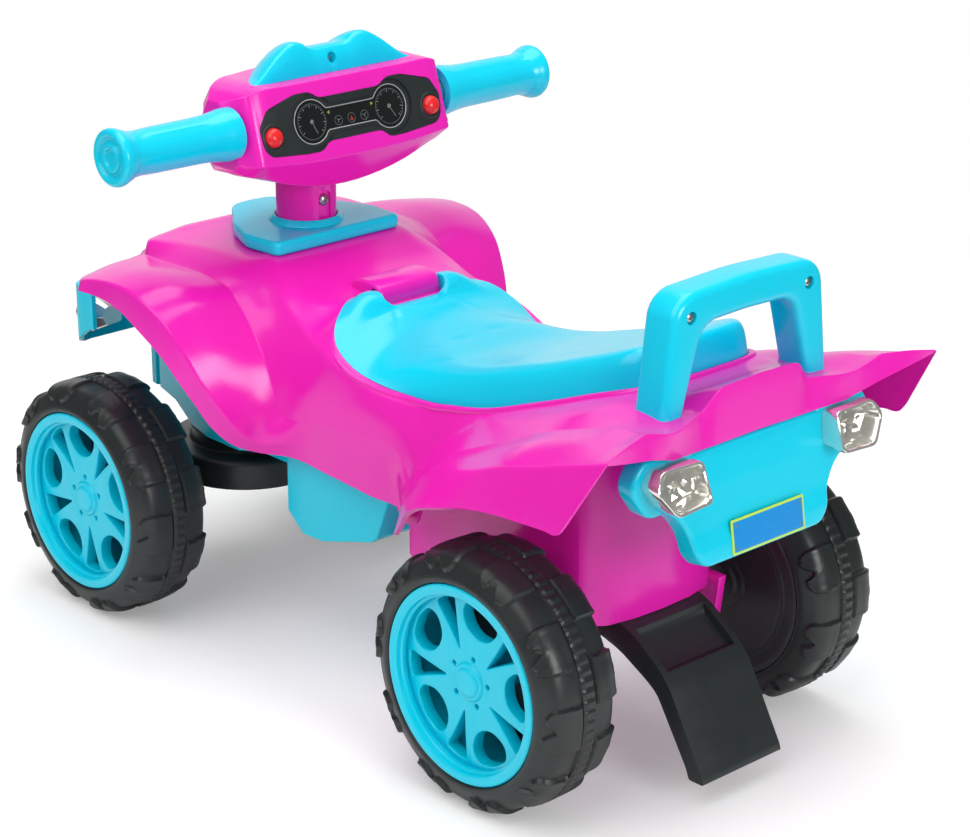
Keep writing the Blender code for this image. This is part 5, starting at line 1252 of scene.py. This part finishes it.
def bumper_face(x, z):
    """The bumper's outer face as a frame: X across, Y up the face, Z out."""
    place = Matrix.Translation((0, BUMPER_Y, BUMPER_HEIGHT)) @ Matrix.Rotation(BUMPER_LEAN, 4, "X")
    return place @ Matrix(((-1, 0, 0, x * MM), (0, 0, 1, 8 * MM), (0, 1, 0, z * MM), (0, 0, 0, 1)))


def number_plate():
    """A bare blue plate with a green border, on the right of the bumper."""
    face = bumper_face(-2.5, -57.6)
    width, height, edge = 31.5, 10.6, 1.5
    border = plate([rounded(in_mm(box(width, height)), 1.2 * MM, 3)], 0.9 * MM, 0.25 * MM)
    piece(moved(shifted(border, z=0.35 * MM), face), "plate_border", "chassis", plate_edge)
    field = plate([rounded(in_mm(box(width - edge, height - edge)), 0.8 * MM, 3)], 0.5 * MM, 0.12 * MM)
    piece(moved(shifted(field, z=0.72 * MM), face), "plate_face", "chassis", plate_blue)
    stud = in_mm([(0, 0.35), (0.6, 0.3), (0.9, 0.1), (0.9, -0.2), (0, -0.2)])
    studs = []
    for x in (-27.8, 27.8):
        for y in (-6.8, 6.8):
            studs.append(shifted(turned(stud, 16), x=x * MM, y=y * MM, z=1.0 * MM))
    piece(moved(joined(studs), face), "plate_studs", "chassis", grey_print)


def handle():
    """The push handle: one plate with rounded edges, cut across into a rear and a front moulding."""
    top, foot, middle_y = 326.0, 236.0, 255.5
    screw_x, screw_z = 50, 312
    outer = [(50, top), (58, top - 4), (63, top - 11), (71.5, foot + 12), (72.5, foot)]
    inner = [(55.5, foot), (54.3, foot + 14), (41, top - 29), (37, top - 23.5), (30, top - 20.5)]
    right = outer + inner
    left = [(-x, z) for x, z in reversed(right)]
    outline = [(0.0, top + 2)] + right + [(0.0, top - 19.5)] + left
    outline.reverse()
    radii = [(11.0 if z > foot + 20 else 8.0) * MM for _, z in outline]
    line = rounded(in_mm(outline), radii, 6)
    for name, back in (("rear", -1), ("front", 1)):
        half = shifted(upright(plate([line], 25 * MM, 5.2 * MM, 6)), y=middle_y * MM)
        other = plate([in_mm([(-90, 220), (90, 220), (90, 340), (-90, 340)])], 20 * MM)
        half = cut(half, shifted(upright(other), y=(middle_y + 10 * back) * MM))
        if name == "rear":
            for side in (-1, 1):
                x, z = side * screw_x * MM, screw_z * MM
                half = cut(half, rod(3.9 * MM, (x, 264.6 * MM, z), (x, 275 * MM, z), 32))
        piece(half, f"handle_{name}_moulding", "chassis", cyan, (f"push_handle_{name}",), 32)
    for label, side in SIDES:
        head = placed(screw_head(3.3), (side * screw_x * MM, 265.4 * MM, screw_z * MM), -math.pi / 2)
        piece(head, f"handle_screw_{label}_head", "chassis", steel, (f"handle_screw_{label}",))


def foot_piece():
    """The sloping foot: a channel with side flanges, a broad tread and a rounded lower lip."""
    y, top = 207.0, 99.9

    def side_view(points, radii=None, steps=4):
        line = in_mm([(y + dy, top + dz) for dy, dz in points])
        return rounded(line, [radius * MM for radius in radii], steps) if radii else line

    outer = [(-3, 0), (8, -4), (31, -20), (40, -30), (68, -79), (69, -83), (57, -83), (55, -77), (29, -36),
             (20, -30), (-3, -18), (-21, -13), (-21, 0)]
    outer = side_view(outer, [3, 6, 5, 5, 2, 1.5, 2, 4, 6, 6, 6, 2, 2], 5)
    shape = sideways(plate([outer], 70 * MM))
    groove = [(4, 12), (6, -9), (19, -19), (28, -24), (32, -21.5), (37, -25), (41.5, -32.5), (64, -72),
              (69, -74), (90, -74), (90, 12)]
    groove = side_view(groove, [0, 3, 5, 2, 2, 3, 4, 1, 0, 0, 0])
    shape = cut(shape, sideways(plate([groove], 60 * MM)))
    hollow = side_view([(-30, -8.5), (-2, -14), (18, -26.5), (26, -32), (50, -71), (40, -100), (-30, -100)])
    shape = cut(shape, sideways(plate([hollow], 62 * MM)))
    fall = math.atan2(46.5, 28)
    for x in (-11, 11):
        slot = plate([rounded(in_mm(box(1, 8)), 0.9 * MM, 4)], 2.4 * MM)
        shape = cut(shape, placed(slot, (x * MM, (y + 37.2) * MM, (top - 24.2) * MM), -fall * 0.85))
    line = plate([in_mm(box(27, 0.4))], 0.8 * MM)
    shape = cut(shape, placed(line, (0, (y + 51.5) * MM, (top - 49) * MM), -fall))
    piece(bevelled(shape, 1.1 * MM, 3, 32), "foot_moulding", "chassis", black, ("anti_tip_foot",), 35)


def softened(node, name, body, material, width, segments):
    """A node's own shape with its edges rounded off."""
    work = bmesh.new()
    work.from_mesh(nodes[node].data)
    bmesh.ops.remove_doubles(work, verts=work.verts, dist=1e-5)
    bmesh.ops.dissolve_limit(work, angle_limit=math.radians(2), verts=work.verts, edges=work.edges)
    mesh = bpy.data.meshes.new(name)
    work.to_mesh(mesh)
    work.free()
    return piece(bevelled(add_object(name, mesh), width, segments), name, body, material, (node,), 32)


def front_fascia():
    """The panel across the nose, its ends turned back and its lower corners rounded."""
    plane = -264.15
    half = [(0, -1.5), (90, -1.5), (97, 0.5), (101.5, 4.2), (103.5, 9.5), (103.5, 26)]
    path = [Vector((x, y, 0)) for x, y in rounded([(x, plane + y) for x, y in half], 6, 5, closed=False)]
    fine = [path[0]]
    for a, b in zip(path, path[1:]):
        steps = max(1, round((b - a).length / 4))
        fine += [a.lerp(b, k / steps) for k in range(1, steps + 1)]
    fine = [Vector((-p.x, p.y, 0)) for p in reversed(fine[1:])] + fine
    length = [0.0]
    for a, b in zip(fine, fine[1:]):
        length.append(length[-1] + (b - a).length)
    total = length[-1]
    rings = []
    for i, place in enumerate(fine):
        before, after = fine[max(i - 1, 0)], fine[min(i + 1, len(fine) - 1)]
        run = (after - before).normalized()
        out = Vector((run.y, -run.x, 0))
        end = min(length[i], total - length[i])
        low, high = -89 + 16 * (1 - step_up(end / 30)), -44.5
        section = [(1.0, low), (1.5, low + 0.6), (1.5, high - 0.6), (1.0, high)]
        section += [(-out_by, z) for out_by, z in reversed(section)]
        rings.append([(place + out * d + Vector((0, 0, HOOD_MM + z))) * MM for d, z in section])
    shape = loft(rings)
    for side in (-1, 1):
        hole = [(side * x * MM, (HOOD_MM + z) * MM) for x, z in rounded(HEADLIGHT, 4, 5)]
        if side < 0:
            hole.reverse()
        shape = cut(shape, shifted(upright(plate([hole], 30 * MM)), y=-264 * MM))
    piece(shape, "front_fascia", "chassis", cyan, ("front_bumper",), 32)


def carriage():
    """The turntable with its two holes, and the beam that holds the front axle."""
    y = -203 * MM
    disc = rounded([(0, 118), (36.5, 118), (42, 112), (42, 100.5), (56, 100.2), (58, 98), (58, 79), (0, 79)],
                   [0, 3, 3, 1.5, 2, 1.5, 1.5, 0], 4, closed=False)
    disc = shifted(turned(in_mm(disc), 96), y=y)
    for x in (-28, 28):
        disc = cut(disc, rod(3.4 * MM, (x * MM, y, 106 * MM), (x * MM, y, 125 * MM), 24))
    beam = plate([rounded(in_mm(box(11, 11)), 3 * MM, 4)], 168.4 * MM)
    beam = shifted(sideways(beam), y=FRONT_AXLE_Y, z=TYRE_RADIUS)
    bore_ends = [(x * MM, FRONT_AXLE_Y, TYRE_RADIUS) for x in (-90, 90)]
    beam = cut(beam, rod(4.2 * MM, *bore_ends, 32))
    piece(joined([disc, beam]), "turntable_moulding", "carriage", black, ("turntable",), 32)


def storage_bin():
    """The bin with its axle bosses kept short, as no sleeve stands out beside it."""
    shape = softened("storage_tub", "storage_bin", "chassis", pink, 1.2 * MM, 2)
    for vertex in shape.data.vertices:
        x, y, z = vertex.co
        if abs(x) > 68 * MM and math.hypot(y - REAR_AXLE_Y, z - TYRE_RADIUS) < 11.6 * MM:
            vertex.co.x = math.copysign(66 * MM, x)
    shape.data.update()


def rear_and_front():
    lamp_pair("tail_light", TAIL_LAMP, 265, 296.4, 0.36, 0.93)
    lamp_pair("headlight", HEADLIGHT, -246, -267, 0.0, 0.5)
    tail_bumper()
    lamp_cups()
    number_plate()
    handle()
    foot_piece()
    front_fascia()
    carriage()
    softened("chassis_pan", "belly_pan", "chassis", cyan, 3.5 * MM, 4)
    storage_bin()
    softened("front_housing", "hood_housing", "chassis", cyan, 1.0 * MM, 2)
    softened("battery_cover", "battery_door", "steering", pink, 0.4 * MM, 2)


# Camera

def camera():
    azimuth, elevation, roll = (math.radians(angle) for angle in (137.45, 20.48, 0.10))
    forward = Vector((-math.sin(azimuth) * math.cos(elevation), math.cos(azimuth) * math.cos(elevation),
                      -math.sin(elevation)))
    data = bpy.data.cameras.new("camera")
    data.sensor_width = 36.0
    data.lens = 98.26
    data.shift_x = 0.02104
    data.shift_y = 0.00974
    data.clip_end = 50.0
    view = add_object("camera", data)
    view.location = (1.09048, 1.21470, 0.77009)
    turn = forward.to_track_quat("-Z", "Y").to_matrix().to_4x4() @ Matrix.Rotation(roll, 4, "Z")
    view.rotation_euler = turn.to_euler()
    scene.camera = view


# Studio

def area_light(name, place, target, size, power):
    data = bpy.data.lights.new(name, "AREA")
    data.shape = "RECTANGLE"
    data.size, data.size_y = size
    data.energy = power
    light = add_object(name, data)
    light.location = place
    light.rotation_euler = (Vector(target) - Vector(place)).to_track_quat("-Z", "Y").to_euler()


def studio_world():
    """White for the camera and through glass. Gloss sees a studio that is bright on its front right."""
    world = bpy.data.worlds.new("studio")
    scene.world = world
    tree, make = node_maker(world)
    path = make("ShaderNodeLightPath").outputs
    seen = make("ShaderNodeMath", path["Is Camera Ray"], path["Is Transmission Ray"])
    seen.operation = "MAXIMUM"
    level = make("ShaderNodeMapRange", Value=seen.outputs[0], To_Min=0.5, To_Max=1.0)
    heading = make("ShaderNodeTexCoord").outputs["Generated"]
    toward = make("ShaderNodeVectorMath", heading, Vector((-0.64, -0.70, 0.30)).normalized())
    toward.operation = "DOT_PRODUCT"
    band = make("ShaderNodeMapRange", Value=toward.outputs["Value"], From_Min=0.74, From_Max=0.93,
                To_Min=0.13, To_Max=0.85)
    band.interpolation_type = "SMOOTHSTEP"
    strength = make("ShaderNodeMix", Factor=path["Is Glossy Ray"], A=level.outputs["Result"],
                    B=band.outputs["Result"])
    background = tree.nodes["Background"]
    background.inputs["Color"].default_value = (1.0, 1.0, 1.0, 1.0)
    tree.links.new(strength.outputs["Result"], background.inputs["Strength"])


def studio_floor():
    """A pale floor that carries the shadow and fades out into the white round it."""
    floor = mesh_object("floor", [(x, y, 0) for x, y in box(4, 4)], [(0, 1, 2, 3)])
    floor.location.z = cad_low.z - 0.0002
    material = bpy.data.materials.new("floor")
    tree, make = node_maker(material)
    link = tree.links.new
    shader = tree.nodes["Principled BSDF"]
    shader.inputs["Base Color"].default_value = (0.86, 0.86, 0.86, 1.0)
    shader.inputs["Roughness"].default_value = 0.9
    shader.inputs["Specular IOR Level"].default_value = 0.1
    shader.inputs["Emission Color"].default_value = (1.0, 1.0, 1.0, 1.0)
    lift = make("ShaderNodeMath", make("ShaderNodeLightPath").outputs["Is Camera Ray"], 0.22)
    lift.operation = "MULTIPLY"
    link(lift.outputs[0], shader.inputs["Emission Strength"])
    reach = make("ShaderNodeVectorMath", make("ShaderNodeTexCoord").outputs["Object"])
    reach.operation = "LENGTH"
    fade = make("ShaderNodeMapRange", Value=reach.outputs["Value"], From_Min=0.55, From_Max=1.3)
    fade.interpolation_type = "SMOOTHSTEP"
    clear = make("ShaderNodeBsdfTransparent").outputs["BSDF"]
    mix = make("ShaderNodeMixShader", fade.outputs["Result"], shader.outputs["BSDF"], clear)
    link(mix.outputs["Shader"], tree.nodes["Material Output"].inputs["Surface"])
    floor.data.materials.append(material)


def studio():
    studio_world()
    studio_floor()
    area_light("key", (1.3, 0.2, 1.6), (0, 0, 0.15), (1.8, 1.6), 17)
    area_light("top", (-0.2, -0.1, 1.9), (0, 0, 0.2), (1.2, 1.6), 16)
    area_light("fill", (0.2, 2.2, 0.9), (0, 0, 0.2), (1.0, 0.8), 19)


# The whole object and its studio

dress_cad_nodes()
wheels()
steering()
seat(body_cover())
rear_and_front()
camera()
studio()

scene.view_settings.view_transform = "Standard"
